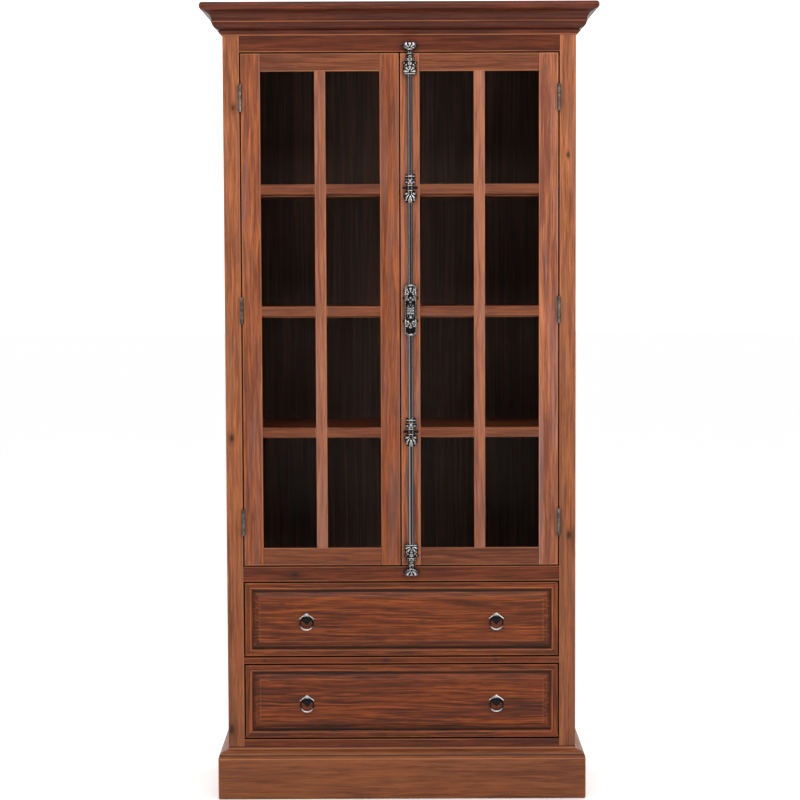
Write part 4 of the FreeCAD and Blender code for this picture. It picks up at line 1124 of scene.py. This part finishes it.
class NodeTree:
    def __init__(self, name):
        self.group = bpy.data.node_groups.new(name, "GeometryNodeTree")
        self.group.interface.new_socket("Geometry", in_out="OUTPUT", socket_type="NodeSocketGeometry")
        self.inputs = {}

    def ask(self, name, kind, value):
        socket = self.group.interface.new_socket(name, in_out="INPUT", socket_type=f"NodeSocket{kind}")
        self.inputs[name] = (socket.identifier, value)

    def node(self, kind, settings=None, inputs=(), out=0):
        made = self.group.nodes.new(kind)
        for key, value in (settings or {}).items():
            setattr(made, key, value)
        pairs = inputs.items() if isinstance(inputs, dict) else enumerate(inputs)
        for key, value in pairs:
            for one in value if isinstance(value, list) else [value]:
                if isinstance(one, bpy.types.NodeSocket):
                    self.group.links.new(one, made.inputs[key])
                else:
                    made.inputs[key].default_value = one
        return made.outputs[out] if made.outputs else None

    def run(self, name):
        holder = bpy.data.objects.new(name, bpy.data.meshes.new(name))
        bpy.context.scene.collection.objects.link(holder)
        modifier = holder.modifiers.new("build", "NODES")
        modifier.node_group = self.group
        for identifier, value in self.inputs.values():
            modifier[identifier] = value
        ready = holder.evaluated_get(bpy.context.evaluated_depsgraph_get())
        mesh = bpy.data.meshes.new_from_object(ready)
        holder.modifiers.remove(modifier)
        holder.data = mesh
        return holder


def buildBackScrews():
    low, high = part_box("back_panel")
    tree = NodeTree("screwsAlongPanel")
    tree.ask("Width", "Float", high.x - low.x - 2 * backScrews["inset"] * mm)
    tree.ask("Height", "Float", high.z - low.z - 2 * backScrews["inset"] * mm)
    tree.ask("Spacing", "Float", backScrews["spacing"] * mm)
    tree.ask("Head Radius", "Float", backScrews["radius"] * mm)
    tree.ask("Head Height", "Float", backScrews["height"] * mm)
    tree.ask("Finish", "Material", metal["hingeSteel"])
    asked = tree.group.nodes.new("NodeGroupInput").outputs
    outline = tree.node("GeometryNodeCurvePrimitiveQuadrilateral", None, (asked["Width"], asked["Height"]))
    stops = tree.node(
        "GeometryNodeResampleCurve",
        {"mode": "LENGTH"},
        {"Curve": outline, "Length": asked["Spacing"]},
    )
    head = tree.node(
        "GeometryNodeMeshCylinder",
        None,
        {"Vertices": 20, "Radius": asked["Head Radius"], "Depth": asked["Head Height"]},
    )
    arm = (backScrews["radius"] * 1.3 * mm, backScrews["slotWidth"] * mm, 0.5 * mm)
    lift = (0.0, 0.0, backScrews["height"] * mm / 2)
    ribs = []
    for turn in (0.0, math.pi / 2):
        bar = tree.node("GeometryNodeMeshCube", None, {"Size": arm})
        placing = {"Geometry": bar, "Translation": lift, "Rotation": (0.0, 0.0, turn)}
        ribs.append(tree.node("GeometryNodeTransform", None, placing))
    screw = tree.node("GeometryNodeJoinGeometry", None, {0: [head] + ribs})
    placed = tree.node("GeometryNodeInstanceOnPoints", None, {"Points": stops, "Instance": screw})
    stood = tree.node(
        "GeometryNodeTransform",
        None,
        {
            "Geometry": placed,
            "Translation": (0.0, high.y + backScrews["height"] * mm / 2, (low.z + high.z) / 2),
            "Rotation": (math.radians(-90.0), 0.0, 0.0),
        },
    )
    whole = tree.node("GeometryNodeRealizeInstances", None, (stood,))
    dressed = tree.node("GeometryNodeSetMaterial", None, {"Geometry": whole, "Material": asked["Finish"]})
    tree.node("NodeGroupOutput", None, (dressed,))
    screws = tree.run("backScrews")
    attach(screws, "case")


buildBackScrews()
print("back screws set")


# floor and room


def buildFloor():
    half = studio["floorSize"] / 2
    mesh = bpy.data.meshes.new("floor")
    corners = [(-half, -half, 0), (half, -half, 0), (half, half, 0), (-half, half, 0)]
    mesh.from_pydata(corners, [], [(0, 1, 2, 3)])
    floor = bpy.data.objects.new("floor", mesh)
    bpy.context.scene.collection.objects.link(floor)
    s = Shader("paleFloor")
    mesh.materials.append(
        s.finish(
            s.principled(
                Base_Color=linear(studio["floorColour"]),
                Roughness=0.7,
                Emission_Color=(1.0, 1.0, 1.0, 1.0),
                Emission_Strength=studio["floorGlow"],
            )
        )
    )


def buildRoom():
    world = bpy.data.worlds.new("room")
    world.use_nodes = True
    bpy.context.scene.world = world
    tree = world.node_tree
    tree.nodes.clear()
    coordinates = tree.nodes.new("ShaderNodeTexCoord")
    split = tree.nodes.new("ShaderNodeSeparateXYZ")
    ramp = tree.nodes.new("ShaderNodeMapRange")
    background = tree.nodes.new("ShaderNodeBackground")
    output = tree.nodes.new("ShaderNodeOutputWorld")
    ramp.interpolation_type = "SMOOTHSTEP"
    for socket, value in (("From Min", -0.35), ("From Max", 0.45)):
        ramp.inputs[socket].default_value = value
    ramp.inputs["To Min"].default_value = studio["roomDark"]
    ramp.inputs["To Max"].default_value = studio["roomBright"]
    tree.links.new(coordinates.outputs["Generated"], split.inputs[0])
    tree.links.new(split.outputs["Y"], ramp.inputs["Value"])
    backdrop = tree.nodes.new("ShaderNodeMath")  # what stands behind the cabinet is white from every side
    backdrop.operation = "MAXIMUM"
    seen = tree.nodes.new("ShaderNodeLightPath")
    white = tree.nodes.new("ShaderNodeMapRange")
    white.inputs["To Max"].default_value = studio["roomBright"]
    tree.links.new(seen.outputs["Is Camera Ray"], white.inputs["Value"])
    tree.links.new(ramp.outputs[0], backdrop.inputs[0])
    tree.links.new(white.outputs[0], backdrop.inputs[1])
    tree.links.new(backdrop.outputs[0], background.inputs["Strength"])
    tree.links.new(background.outputs[0], output.inputs[0])


buildFloor()
buildRoom()
bpy.context.scene.view_settings.view_transform = "Standard"
print("floor and room built")
